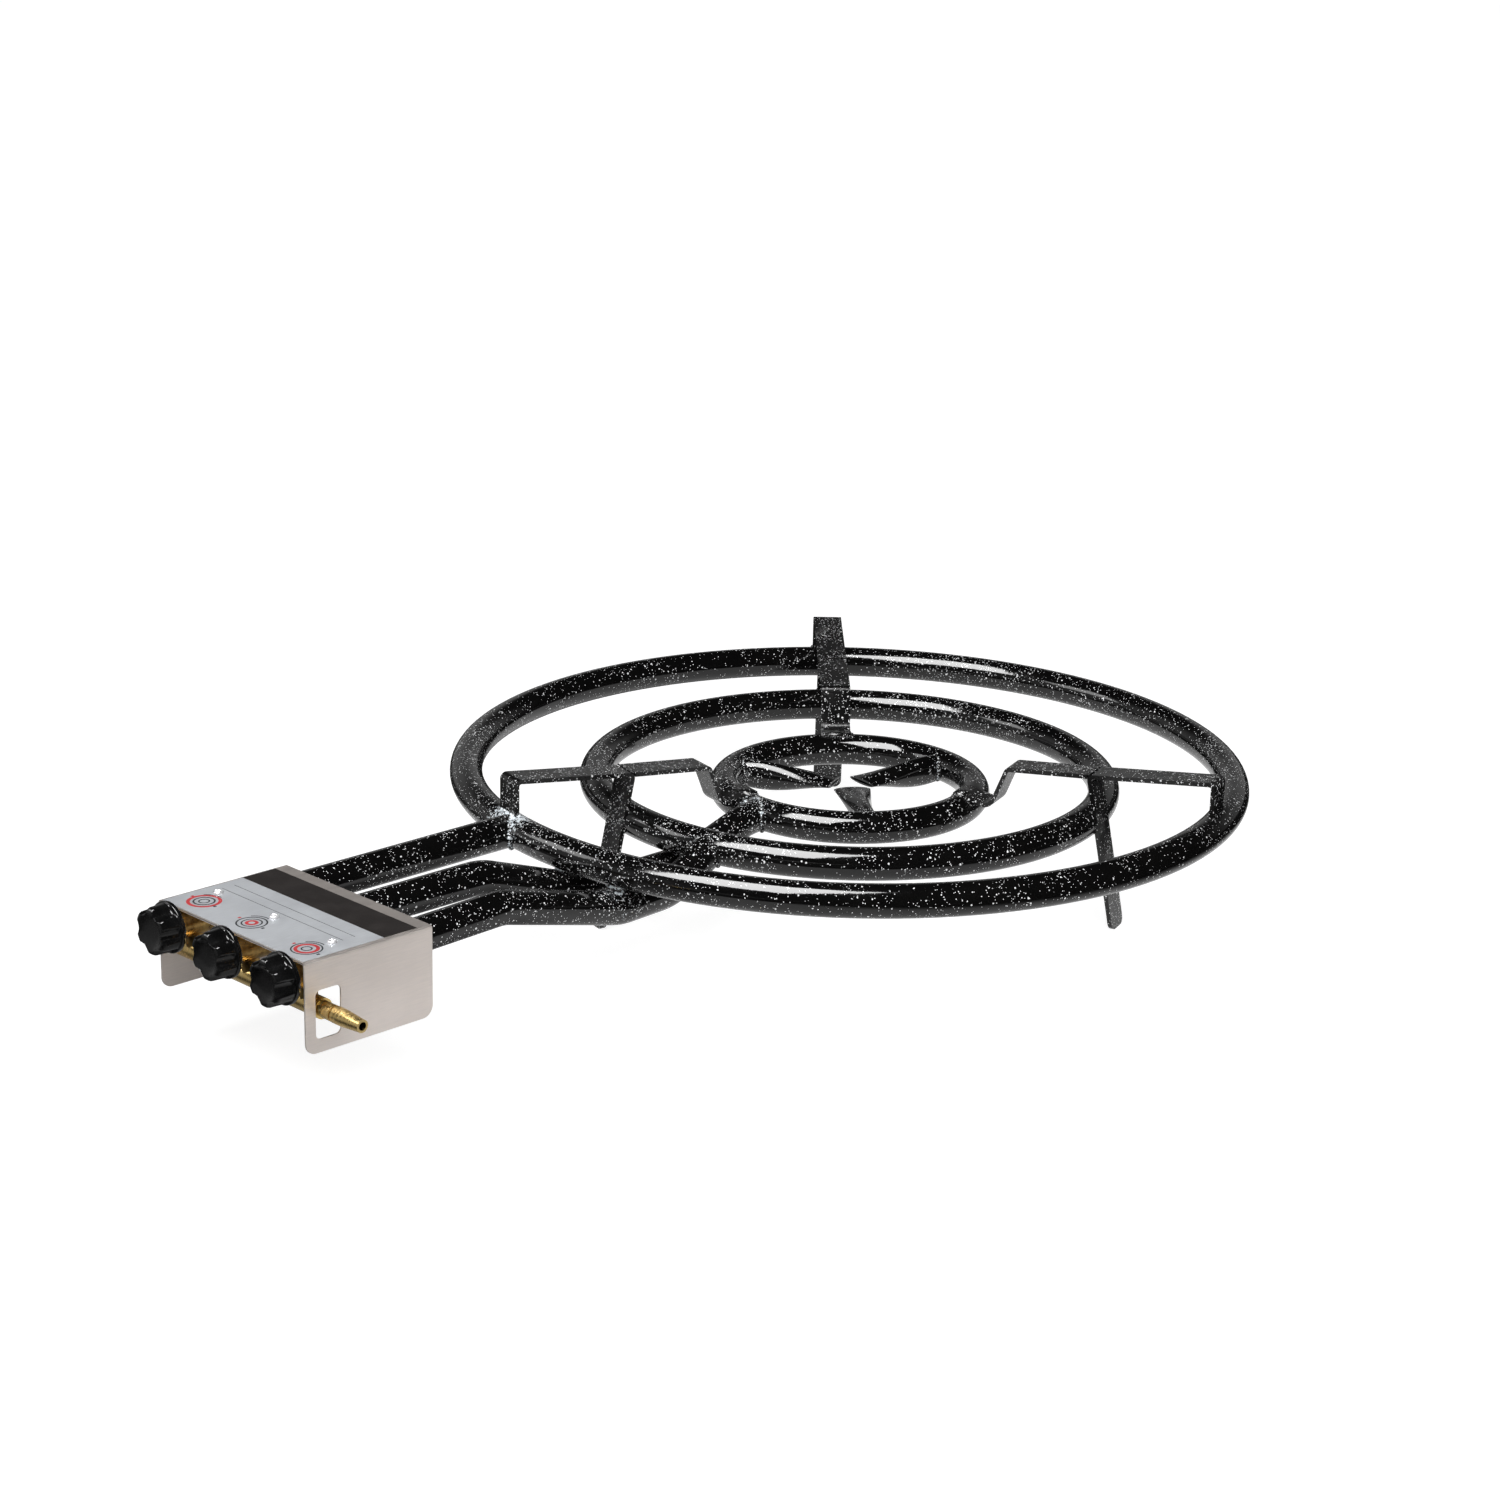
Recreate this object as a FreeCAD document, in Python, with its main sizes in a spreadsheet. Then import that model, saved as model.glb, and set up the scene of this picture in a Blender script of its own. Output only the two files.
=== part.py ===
import FreeCAD, Part
import math
import os

import Sketcher
from FreeCAD import Placement, Rotation, Vector

# Three ring gas burner for large pans. X runs from the control box to the rings, Z is up,
# and the floor under the three feet is Z 0. All sizes are in millimetres and degrees.

SIZES = {
    # Rings
    "tube_dia": 24.0,
    "tube_wall": 1.5,
    "outer_ring_dia": 600.0,
    "middle_ring_dia": 407.0,
    "inner_ring_dia": 212.0,
    "outer_ring_height": 87.0,
    "middle_ring_drop": 8.0,
    "inner_ring_drop": 15.0,
    # Spurs that carry gas from the inner ring to the centre
    "spur_count": 3,
    "spur_azimuth": -6.8,
    "spur_dia": 18.0,
    "spur_wall": 1.5,
    "spur_tip_reach": 12.0,
    "spur_tip_rise": 2.0,
    "spur_lip_thick": 4.4,
    "spur_lip_width": 28.0,
    "spur_pinch_length": 36.0,
    "spur_slot_length": 8.0,
    # Feed pipes
    "pipe_pitch": 60.0,
    "pipe_bend": 52.0,
    "middle_pipe_azimuth": 193.2,
    "inner_dip_before": 75.2,
    "inner_dip_after": 10.3,
    "low_run_before": 25.8,
    "low_run_after": 23.5,
    "low_run_gap": 2.0,
    "inner_rise_before": 18.5,
    "inner_rise_under": 1.6,
    "middle_dip_before": 106.7,
    "middle_dip_after": 3.4,
    "tie_gap": 5.6,
    "tie_dia": 9.0,
    # Pan supports
    "support_1_azimuth": 46.8,
    "support_2_azimuth": 167.5,
    "support_3_azimuth": 289.1,
    "support_1_side": 5.0,
    "support_2_side": -0.7,
    "support_3_side": 0.4,
    "strap_width": 22.8,
    "strap_thick": 3.2,
    "strap_bend": 3.2,
    "strap_top_height": 126.0,
    "strap_foot_out": 1.6,
    "seam_drop": 9.2,
    "leg_bite": 1.1,
    "leg_foot_out": 12.0,
    "leg_kink_height": 15.0,
    "leg_kink_out": 3.5,
    "leg_corner": 6.0,
    "bar_end_out": 37.0,
    "bar_end_drop": 14.2,
    "dip_out": 24.5,
    "dip_rise": 8.0,
    "dip_bend": 9.0,
    "strap_end_out": 3.5,
    "strap_end_rise": 12.4,
    # Control box cover
    "knob_front_reach": 590.0,
    "cover_behind_knob": 19.5,
    "cover_depth": 102.0,
    "cover_width": 154.0,
    "cover_side": 62.4,
    "sheet_thick": 1.2,
    "sheet_bend": 1.8,
    "cover_corner": 8.0,
    "window_back": 8.0,
    "window_width": 20.0,
    "window_drop": 20.5,
    "window_tall": 33.0,
    "window_corner": 4.0,
    "screw_back": 35.0,
    "screw_dia": 4.0,
    "screw_head_dia": 7.0,
    "screw_head_tall": 2.4,
    "screw_depth": 8.0,
    # Label sheet on the cover
    "label_thick": 0.3,
    "label_margin": 1.2,
    "label_band_back": 64.8,
    "label_end_back": 91.6,
    # Gas rail and hose tail
    "rail_back": 15.7,
    "rail_drop": 21.5,
    "rail_dia": 14.0,
    "rail_bore": 8.0,
    "rail_overhang": 11.0,
    "rail_plug_head": 4.0,
    "rail_plug_spigot": 8.0,
    "tail_reach": 114.0,
    "tail_shank_dia": 11.0,
    "tail_groove_dia": 9.8,
    "tail_groove_width": 1.4,
    "tail_barb_dia": 11.4,
    "tail_barb_length": 8.0,
    "tail_end_dia": 8.6,
    "tail_bore": 5.6,
    "tail_barb_start": 88.0,
    "tail_hex_dia": 14.0,
    "tail_hex_length": 4.0,
    # Taps, measured back from the bonnet's front face
    "tap_front_ahead": 5.5,
    "bonnet_dia": 24.0,
    "bonnet_thick": 3.0,
    "flange_thick": 3.0,
    "barrel_dia": 20.0,
    "barrel_end": 46.0,
    "outlet_start": 50.0,
    "outlet_end": 56.0,
    "outlet_dia": 14.0,
    "chamber_dia": 12.2,
    "plug_start": 12.0,
    "plug_end": 30.0,
    "plug_big_dia": 12.0,
    "plug_small_dia": 10.0,
    "plug_clear": 0.05,
    "gas_bore": 4.0,
    "low_bore": 1.2,
    "inlet_dia": 12.0,
    "boss_dia": 10.0,
    "bonnet_screw_pitch": 18.0,
    "bonnet_screw_dia": 2.0,
    "bonnet_screw_head_dia": 3.6,
    "bonnet_screw_head_tall": 1.2,
    "bonnet_screw_depth": 5.0,
    # Spindle and return spring
    "spindle_dia": 6.0,
    "spindle_clear": 0.06,
    "spindle_ahead": 10.0,
    "spindle_flat": 2.0,
    "spindle_core_dia": 5.0,
    "collar_dia": 9.4,
    "collar_start": 3.1,
    "collar_thick": 1.5,
    "core_end": 9.2,
    "blade_end": 14.2,
    "blade_thick": 1.8,
    "blade_wide": 4.6,
    "slot_depth": 5.3,
    "slot_clear": 0.1,
    "spring_mean_dia": 7.8,
    "spring_wire_wide": 0.8,
    "spring_wire_thick": 0.6,
    "spring_turns": 3.5,
    # Injector and mixer cap
    "injector_hex": 9.0,
    "injector_length": 12.5,
    "injector_nose_dia": 6.0,
    "injector_nose_length": 5.0,
    "injector_nose_in": 0.5,
    "jet_dia": 1.0,
    "cap_flange": 3.0,
    "cap_spigot": 8.0,
    "air_hole_dia": 3.0,
    "air_hole_count": 6,
    "air_hole_pitch_dia": 15.0,
    # Knobs
    "knob_dia": 35.0,
    "knob_tall": 16.5,
    "knob_base_tall": 3.2,
    "knob_grip_dia": 33.2,
    "knob_shoulder_dia": 32.0,
    "knob_shoulder": 2.6,
    "knob_front_dia": 28.6,
    "knob_lobes": 6,
    "flute_dia": 11.6,
    "flute_pitch_dia": 37.2,
    "flute_lean": 11.0,
    "knob_face_dia": 21.0,
    "knob_face_sink": 1.6,
    "knob_hollow_dia": 26.8,
    "knob_hollow_deep": 7.0,
    "knob_hub_dia": 10.0,
    "knob_hub_short": 5.4,
    "knob_push": 2.5,
    # Cutting tools run past the piece by this much
    "overrun": 1.0,
}

# Each tap's place to the side, as a share of the pipe pitch
TAP_SIDE_SHARES = {1: 1, 2: 0, 3: -1}
# Where the middle ring's pipe starts to rise, as a share of its run between the two rings
MIDDLE_RISE_SHARE = 0.558

doc = FreeCAD.newDocument("gas_burner")
sheet = doc.addObject("Spreadsheet::Sheet", "Dims")
for row, (alias, number) in enumerate(SIZES.items(), start=1):
    sheet.set(f"A{row}", alias.replace("_", " "))
    sheet.set(f"B{row}", str(number))
    sheet.setAlias(f"B{row}", alias)
doc.recompute()


class Size:
    """A number read from the sheet, with the expression that gives it."""

    def __init__(self, value, text):
        self.value = float(value)
        self.text = text

    def __add__(self, other):
        other = as_size(other)
        return Size(self.value + other.value, f"({self.text} + {other.text})")

    def __sub__(self, other):
        other = as_size(other)
        return Size(self.value - other.value, f"({self.text} - {other.text})")

    def __mul__(self, other):
        other = as_size(other)
        return Size(self.value * other.value, f"({self.text} * {other.text})")

    def __truediv__(self, other):
        other = as_size(other)
        return Size(self.value / other.value, f"({self.text} / {other.text})")

    def __neg__(self):
        return Size(-self.value, f"(0 - {self.text})")


def as_size(value):
    return value if isinstance(value, Size) else Size(value, str(value))


def dim(alias):
    return Size(sheet.get(alias), f"Dims.{alias}")


def bind(thing, name, value):
    value = as_size(value)
    setattr(thing, name, value.value)
    thing.setExpression(name, value.text)


ZERO = as_size(0)
ALONG_X = Rotation(Vector(0, 1, 0), 90)
ALONG_Y = Rotation(Vector(1, 0, 0), -90)
UPRIGHT = Rotation()
nodes = {}


def put(thing, x=ZERO, y=ZERO, z=ZERO, turn=UPRIGHT):
    """Place an object at named coordinates, turned about its own origin."""
    x, y, z = as_size(x), as_size(y), as_size(z)
    thing.Placement = Placement(Vector(x.value, y.value, z.value), turn)
    thing.setExpression("Placement.Base.x", x.text)
    thing.setExpression("Placement.Base.y", y.text)
    thing.setExpression("Placement.Base.z", z.text)
    return thing


def cylinder(name, dia, length, x=ZERO, y=ZERO, z=ZERO, turn=UPRIGHT):
    thing = doc.addObject("Part::Cylinder", name)
    bind(thing, "Radius", as_size(dia) / 2)
    bind(thing, "Height", length)
    return put(thing, x, y, z, turn)


def block(name, length, width, height, x=ZERO, y=ZERO, z=ZERO):
    thing = doc.addObject("Part::Box", name)
    bind(thing, "Length", length)
    bind(thing, "Width", width)
    bind(thing, "Height", height)
    return put(thing, x, y, z)


def torus(name, ring_dia, section_dia, x, z):
    """A full ring whose outer diameter is ring_dia when its section is the tube's."""
    thing = doc.addObject("Part::Torus", name)
    bind(thing, "Radius1", (ring_dia - dim("tube_dia")) / 2)
    bind(thing, "Radius2", as_size(section_dia) / 2)
    return put(thing, x, ZERO, z)


def fuse(name, things):
    thing = doc.addObject("Part::MultiFuse", name)
    thing.Shapes = things
    thing.Refine = True
    return thing


def cut(name, base, tools):
    """Take tools out of a base, one after another."""
    for number, tool in enumerate(tools, start=1):
        last = number == len(tools)
        thing = doc.addObject("Part::Cut", name if last else f"{name}_step_{number}")
        thing.Base = base
        thing.Tool = tool
        thing.Refine = False
        base = thing
    return base


def formed(name, shape, place=None):
    """A piece whose shape is worked out here from the sheet's sizes."""
    thing = doc.addObject("Part::Feature", name)
    thing.Shape = shape
    if place:
        thing.Placement = place
    return thing


def node(label, thing):
    thing.Label = label
    nodes[label] = thing
    return thing


def origin_plane(body, role):
    return next(f for f in body.Origin.OriginFeatures if f.Role == role)


def new_sketch(body, role, name):
    sketch = body.newObject("Sketcher::SketchObject", name)
    sketch.AttachmentSupport = [(origin_plane(body, role), "")]
    sketch.MapMode = "FlatFace"
    return sketch


def fix(sketch, kind, geometry, point, value):
    """Hold a point at a named distance from the sketch's origin, or on its axis at zero."""
    value = as_size(value)
    if value.value == 0:
        axis = -2 if kind == "DistanceX" else -1
        sketch.addConstraint(Sketcher.Constraint("PointOnObject", geometry, point, axis))
        return
    index = sketch.addConstraint(Sketcher.Constraint(kind, -1, 1, geometry, point, value.value))
    sketch.setExpression(f"Constraints[{index}]", value.text)


def draw_outline(sketch, corners):
    """Draw a closed outline of straight lines through corners at named places."""
    count = len(corners)
    points = [Vector(as_size(a).value, as_size(b).value, 0) for a, b in corners]
    for index, point in enumerate(points):
        sketch.addGeometry(Part.LineSegment(point, points[(index + 1) % count]), False)
    for index in range(count):
        sketch.addConstraint(
            Sketcher.Constraint("Coincident", index, 2, (index + 1) % count, 1))
    for index, (across, up) in enumerate(corners):
        fix(sketch, "DistanceX", index, 1, across)
        fix(sketch, "DistanceY", index, 1, up)


def draw_circle(sketch, across, up, dia):
    dia = as_size(dia)
    centre = Vector(as_size(across).value, as_size(up).value, 0)
    index = sketch.addGeometry(Part.Circle(centre, Vector(0, 0, 1), dia.value / 2), False)
    fix(sketch, "DistanceX", index, 3, across)
    fix(sketch, "DistanceY", index, 3, up)
    round_size = sketch.addConstraint(Sketcher.Constraint("Diameter", index, dia.value))
    sketch.setExpression(f"Constraints[{round_size}]", dia.text)


def turned(name, profile, x=ZERO, y=ZERO, z=ZERO, turn=UPRIGHT):
    """A body turned about its own X axis from (place along the axis, radius) corners."""
    body = doc.addObject("PartDesign::Body", name)
    sketch = new_sketch(body, "XY_Plane", name + "_profile")
    draw_outline(sketch, profile)
    spin = body.newObject("PartDesign::Revolution", name + "_turn")
    spin.Profile = sketch
    spin.ReferenceAxis = (sketch, ["H_Axis"])
    spin.Angle = 360
    return put(body, x, y, z, turn)


def edges_along_x(shape, across, up, near):
    """Names of the edges along X that lie at a distance across either side and a height."""
    found = []
    for index, edge in enumerate(shape.Edges, start=1):
        box, middle = edge.BoundBox, edge.BoundBox.Center
        level = box.YLength < near and box.ZLength < near
        if level and abs(abs(middle.y) - across) < near and abs(middle.z - up) < near:
            found.append(f"Edge{index}")
    return found


def rounded_edges(points, radii, closed):
    """Lines through flat points, with a tangent arc of the given radius at each corner."""
    count = len(points)
    stops = []
    for index, point in enumerate(points):
        radius = radii[index]
        if radius == 0 or (not closed and index in (0, count - 1)):
            stops.append((point, None, point))
            continue
        back = (points[index - 1] - point).normalize()
        ahead = (points[(index + 1) % count] - point).normalize()
        half = back.getAngle(ahead) / 2
        reach = radius / math.tan(half)
        inward = (back + ahead).normalize()
        middle = point + inward * (radius / math.sin(half) - radius)
        stops.append((point + back * reach, middle, point + ahead * reach))
    edges = []
    for index, (start, middle, end) in enumerate(stops):
        if middle is not None:
            edges.append(Part.Arc(start, middle, end).toShape())
        if index < count - 1 or closed:
            following = stops[(index + 1) % count][0]
            edges.append(Part.LineSegment(end, following).toShape())
    return edges


def bent_strip(points, bends, thick, width):
    """A flat bar bent along (reach, height) points, standing on the XZ plane about Y 0."""
    line = [Vector(reach, 0, height) for reach, height in points]
    sides = {1: [], -1: []}
    rounds = {1: [], -1: []}
    for index, point in enumerate(line):
        before = (point - line[index - 1]).normalize() if index else None
        after = (line[index + 1] - point).normalize() if index < len(line) - 1 else None
        before = before or after
        after = after or before
        normal_before = Vector(-before.z, 0, before.x)
        normal_after = Vector(-after.z, 0, after.x)
        mitre = (normal_before + normal_after).normalize()
        reach = thick / 2 / mitre.dot(normal_after)
        left_turn = before.x * after.z - before.z * after.x
        for side in (1, -1):
            sides[side].append(point + mitre * (reach * side))
            inside = side * left_turn > 0
            grow = -thick / 2 if inside else thick / 2
            rounds[side].append(bends[index] + grow if bends[index] else 0)
    outline = sides[1] + sides[-1][::-1]
    radii = rounds[1] + rounds[-1][::-1]
    face = Part.Face(Part.Wire(rounded_edges(outline, radii, closed=True)))
    strip = face.extrude(Vector(0, width, 0))
    strip.translate(Vector(0, -width / 2, 0))
    return strip


# Places that several pieces share
ring_x = (dim("knob_front_reach") - dim("outer_ring_dia") / 2) / 2
outer_z = dim("outer_ring_height")
middle_z = outer_z - dim("middle_ring_drop")
inner_z = outer_z - dim("inner_ring_drop")
tube_bore = dim("tube_dia") - dim("tube_wall") * 2
knob_front = ring_x - dim("knob_front_reach")
cover_front = knob_front + dim("cover_behind_knob")
cover_top = outer_z + dim("tube_dia") / 2 + dim("sheet_thick")
cover_under = cover_top - dim("sheet_thick")
tap_front = cover_front - dim("tap_front_ahead")
rail_x = cover_front + dim("rail_back")
rail_z = outer_z - dim("rail_drop")
jet_end = tap_front + dim("outlet_end") + dim("injector_length")
mouth_x = jet_end + dim("cap_flange") - dim("injector_nose_in")
screw_x = cover_front + dim("screw_back")

RINGS = {
    "outer": (dim("outer_ring_dia"), outer_z),
    "middle": (dim("middle_ring_dia"), middle_z),
    "inner": (dim("inner_ring_dia"), inner_z),
}


def centre_radius(ring):
    """Radius of a ring's tube centre line."""
    return (RINGS[ring][0] - dim("tube_dia")) / 2


def turned_out(azimuth):
    """Placement that stands a piece drawn on the XZ plane at an azimuth of the rings."""
    return Placement(Vector(ring_x.value, 0, 0), Rotation(Vector(0, 0, 1), azimuth))


def ring_solid(ring, purpose):
    """The ring without its bore, used to cope what is welded to it."""
    dia, height = RINGS[ring]
    return torus(f"{ring}_ring_{purpose}", dia, dim("tube_dia"), ring_x, height)


def make_ring(ring, gas_way):
    """A hollow ring, opened where its feed pipe joins it."""
    body = doc.addObject("PartDesign::Body", f"{ring}_ring_body")
    sketch = new_sketch(body, "XZ_Plane", f"{ring}_ring_section")
    draw_circle(sketch, centre_radius(ring), ZERO, dim("tube_dia"))
    draw_circle(sketch, centre_radius(ring), ZERO, tube_bore)
    spin = body.newObject("PartDesign::Revolution", f"{ring}_ring_turn")
    spin.Profile = sketch
    spin.ReferenceAxis = (sketch, ["V_Axis"])
    spin.Angle = 360
    put(body, ring_x, ZERO, RINGS[ring][1])
    node(f"{ring}_ring", cut(f"{ring}_ring_piece", body, [gas_way]))


def pipe_path(points):
    """A path in the XZ plane through (reach, height) points.

    Its bends have the pipe's bend radius, or the largest that fits between two close bends.
    """
    line = [Vector(a, 0, b) for a, b in points]
    bends = [0] * len(line)
    for index in range(1, len(line) - 1):
        back, ahead = line[index - 1] - line[index], line[index + 1] - line[index]
        half_angle = back.getAngle(ahead) / 2
        room = min(back.Length, ahead.Length) / 2 * math.tan(half_angle)
        bends[index] = min(dim("pipe_bend").value, room)
    return Part.Wire(rounded_edges(line, bends, closed=False))


def pipe_solid(points, dia):
    """A round bar of one diameter along a path that starts along X."""
    circle = Part.Circle(Vector(points[0][0], 0, points[0][1]), Vector(1, 0, 0), dia / 2)
    return pipe_path(points).makePipe(Part.Face(Part.Wire(circle.toShape())))


def pipe_heading(azimuth, ring, side):
    """Plan angle and length of a pipe from its mouth to a ring's tube centre line."""
    end_x = ring_x.value + centre_radius(ring).value * math.cos(math.radians(azimuth))
    end_y = centre_radius(ring).value * math.sin(math.radians(azimuth))
    run, across = end_x - mouth_x.value, end_y - side
    return math.degrees(math.atan2(across, run)), math.hypot(run, across)


def run_to_ring(side, heading, ring):
    """How far along its plan line a pipe passes under a ring's tube centre line."""
    turn = math.radians(heading)
    ahead = ring_x.value - mouth_x.value
    nearest = ahead * math.cos(turn) - side * math.sin(turn)
    apart = ahead * math.sin(turn) + side * math.cos(turn)
    return nearest - math.sqrt(centre_radius(ring).value ** 2 - apart ** 2)


def make_pipe(label, points, heading, side, ring):
    """A hollow feed pipe coped to its ring, and the bar that opens the ring's wall."""
    place = Placement(Vector(mouth_x.value, side, outer_z.value), Rotation(Vector(0, 0, 1), heading))
    bar = formed(f"{label}_bar", pipe_solid(points, dim("tube_dia").value), place)
    bore = formed(f"{label}_bore", pipe_solid(points, tube_bore.value), place)
    gas_way = formed(f"{label}_gas_way", pipe_solid(points, tube_bore.value), place)
    node(label, cut(f"{label}_coped", bar, [ring_solid(ring, f"{label}_cope"), bore]))
    return gas_way


def make_feed_pipes():
    """Outer ring pipe runs straight; the other two dip under the rings they cross.

    Gives each pipe's gas way and its plan angle.
    """
    pitch = dim("pipe_pitch").value
    tube = dim("tube_dia").value
    under_outer = tube + dim("tie_gap").value
    ways = {}
    headings = {}
    outer_end = math.degrees(math.pi - math.asin(pitch / centre_radius("outer").value))
    headings[1], length = pipe_heading(outer_end, "outer", pitch)
    ways["outer"] = make_pipe("outer_feed_pipe", [(0, 0), (length, 0)], headings[1], pitch, "outer")

    headings[2], length = pipe_heading(math.degrees(math.pi), "inner", 0)
    first = run_to_ring(0, headings[2], "outer")
    second = run_to_ring(0, headings[2], "middle")
    low = dim("middle_ring_drop").value + tube + dim("low_run_gap").value
    ring_drop = dim("inner_ring_drop").value
    ways["inner"] = make_pipe("inner_feed_pipe", [
        (0, 0),
        (first - dim("inner_dip_before").value, 0),
        (first + dim("inner_dip_after").value, -under_outer),
        (second - dim("low_run_before").value, -low),
        (second + dim("low_run_after").value, -low),
        (length - dim("inner_rise_before").value, -ring_drop - dim("inner_rise_under").value),
        (length, -ring_drop),
    ], headings[2], 0, "inner")

    headings[3], length = pipe_heading(dim("middle_pipe_azimuth").value, "middle", -pitch)
    first = run_to_ring(-pitch, headings[3], "outer")
    ways["middle"] = make_pipe("middle_feed_pipe", [
        (0, 0),
        (first - dim("middle_dip_before").value, 0),
        (first + dim("middle_dip_after").value, -under_outer),
        (first + (length - first) * MIDDLE_RISE_SHARE, -under_outer),
        (length, -dim("middle_ring_drop").value),
    ], headings[3], -pitch, "middle")
    return ways, headings


def spur_section(reach, rise, width, height):
    """An oval across a spur at a reach from the centre."""
    major, minor = max(width, height) / 2, min(width, height) / 2
    oval = Part.Ellipse(Vector(0, 0, 0), major, minor)
    wire = Part.Wire(oval.toShape())
    wire.Placement = Placement(
        Vector(reach, 0, rise), Rotation(Vector(0, 1, 0), Vector(0, 0, 1), Vector(1, 0, 0), "XYZ"))
    return wire


def spur_loft(wall, tip_reach):
    """A tube that runs inwards from the inner ring and is pinched flat at its tip."""
    dia = dim("spur_dia").value - wall * 2
    root = centre_radius("inner").value
    tip = dim("spur_tip_reach").value
    pinch = tip + dim("spur_pinch_length").value
    rise = dim("spur_tip_rise").value
    lip_wide = dim("spur_lip_width").value - wall * 2
    lip_thick = dim("spur_lip_thick").value - wall * 2
    half_wide = (dia + lip_wide) / 2
    half_thick = dia / 2 + lip_thick / 2
    sections = (
        (root, 0, dia * 1.0001, dia),
        (pinch, 0, dia * 1.0001, dia),
        ((pinch + tip_reach) / 2, rise / 2, half_wide, half_thick),
        (tip_reach, rise, lip_wide, lip_thick),
    )
    return Part.makeLoft([spur_section(*section) for section in sections], True, False)


def make_spurs():
    count = round(dim("spur_count").value)
    slot_end = dim("spur_tip_reach").value - dim("overrun").value
    outside = spur_loft(0, dim("spur_tip_reach").value)
    hollow = spur_loft(dim("spur_wall").value, slot_end)
    for index in range(count):
        place = turned_out(dim("spur_azimuth").value + 360 * index / count)
        place.Base.z = inner_z.value
        bar = formed(f"centre_spur_{index + 1}_bar", outside, place)
        bore = formed(f"centre_spur_{index + 1}_bore", hollow, place)
        cope = ring_solid("inner", f"spur_{index + 1}_cope")
        node(f"centre_spur_{index + 1}", cut(f"centre_spur_{index + 1}_piece", bar, [cope, bore]))


def make_supports():
    """Each pan support is two bent flat bars butted at a seam over the middle ring."""
    thick = dim("strap_thick").value
    width = dim("strap_width").value
    bend = dim("strap_bend").value
    half = thick / 2
    over = dim("overrun").value
    foot = centre_radius("outer").value + dim("strap_foot_out").value
    top = dim("strap_top_height").value - half
    seam_height = top - dim("seam_drop").value
    rim = centre_radius("middle").value + dim("tube_dia").value / 2
    leg_foot = rim + dim("leg_foot_out").value
    kink = dim("leg_kink_height").value
    lean = (dim("leg_foot_out").value + dim("leg_bite").value) / (middle_z.value - kink)
    seam = leg_foot - (seam_height - kink) * lean
    leg_points = [
        (foot, outer_z.value),
        (foot, top),
        (seam, seam_height),
        (leg_foot, kink),
        (leg_foot + dim("leg_kink_out").value, -thick),
    ]
    leg = bent_strip(leg_points, [0, bend, thick, 0, 0], thick, width)
    floor_cut = Part.makeBox(foot, width + over * 2, thick * 2)
    floor_cut.translate(Vector(seam, -width / 2 - over, -thick * 2))
    leg = leg.cut(floor_cut)
    corner = dim("leg_corner").value
    foot_edges = [
        edge for edge in leg.Edges
        if abs(edge.BoundBox.YLength) < over / 2 and edge.BoundBox.ZMin < over / 2
        and edge.BoundBox.ZMax < over
    ]
    leg = leg.makeFillet(corner, foot_edges)
    inner = centre_radius("inner").value
    bar_end = inner + dim("bar_end_out").value
    bar_height = top - dim("bar_end_drop").value
    slope = (seam_height - bar_height) / (seam - bar_end)
    seam_face = seam - half / math.cos(math.atan(lean))
    bar_points = [
        (seam + thick, seam_height + slope * thick),
        (bar_end, bar_height),
        (inner + dim("dip_out").value, inner_z.value + dim("dip_rise").value - half),
        (inner + dim("strap_end_out").value, inner_z.value + dim("strap_end_rise").value - half),
    ]
    bar = bent_strip(bar_points, [0, bend, dim("dip_bend").value, 0], thick, width)
    trim_points = [
        Vector(seam_face, -width, seam_height),
        Vector(seam_face + lean * width, -width, seam_height - width),
        Vector(seam + width * 2, -width, seam_height - width),
        Vector(seam + width * 2, -width, seam_height + width),
        Vector(seam_face - lean * width, -width, seam_height + width),
    ]
    trim_points.append(trim_points[0])
    trim = Part.Face(Part.makePolygon(trim_points)).extrude(Vector(0, width * 2, 0))
    bar = bar.cut(trim)
    for number in (1, 2, 3):
        place = turned_out(dim(f"support_{number}_azimuth").value)
        place = place.multiply(Placement(
            Vector(0, dim(f"support_{number}_side").value, 0), Rotation()))
        leg_bar = formed(f"support_leg_{number}_bar", leg, place)
        copes = [ring_solid("outer", f"leg_{number}_cope"), ring_solid("middle", f"leg_{number}_cope")]
        node(f"support_leg_{number}", cut(f"support_leg_{number}_piece", leg_bar, copes))
        inner_bar = formed(f"support_bar_{number}_bar", bar, place)
        cope = ring_solid("inner", f"bar_{number}_cope")
        node(f"support_bar_{number}", cut(f"support_bar_{number}_piece", inner_bar, [cope]))


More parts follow.
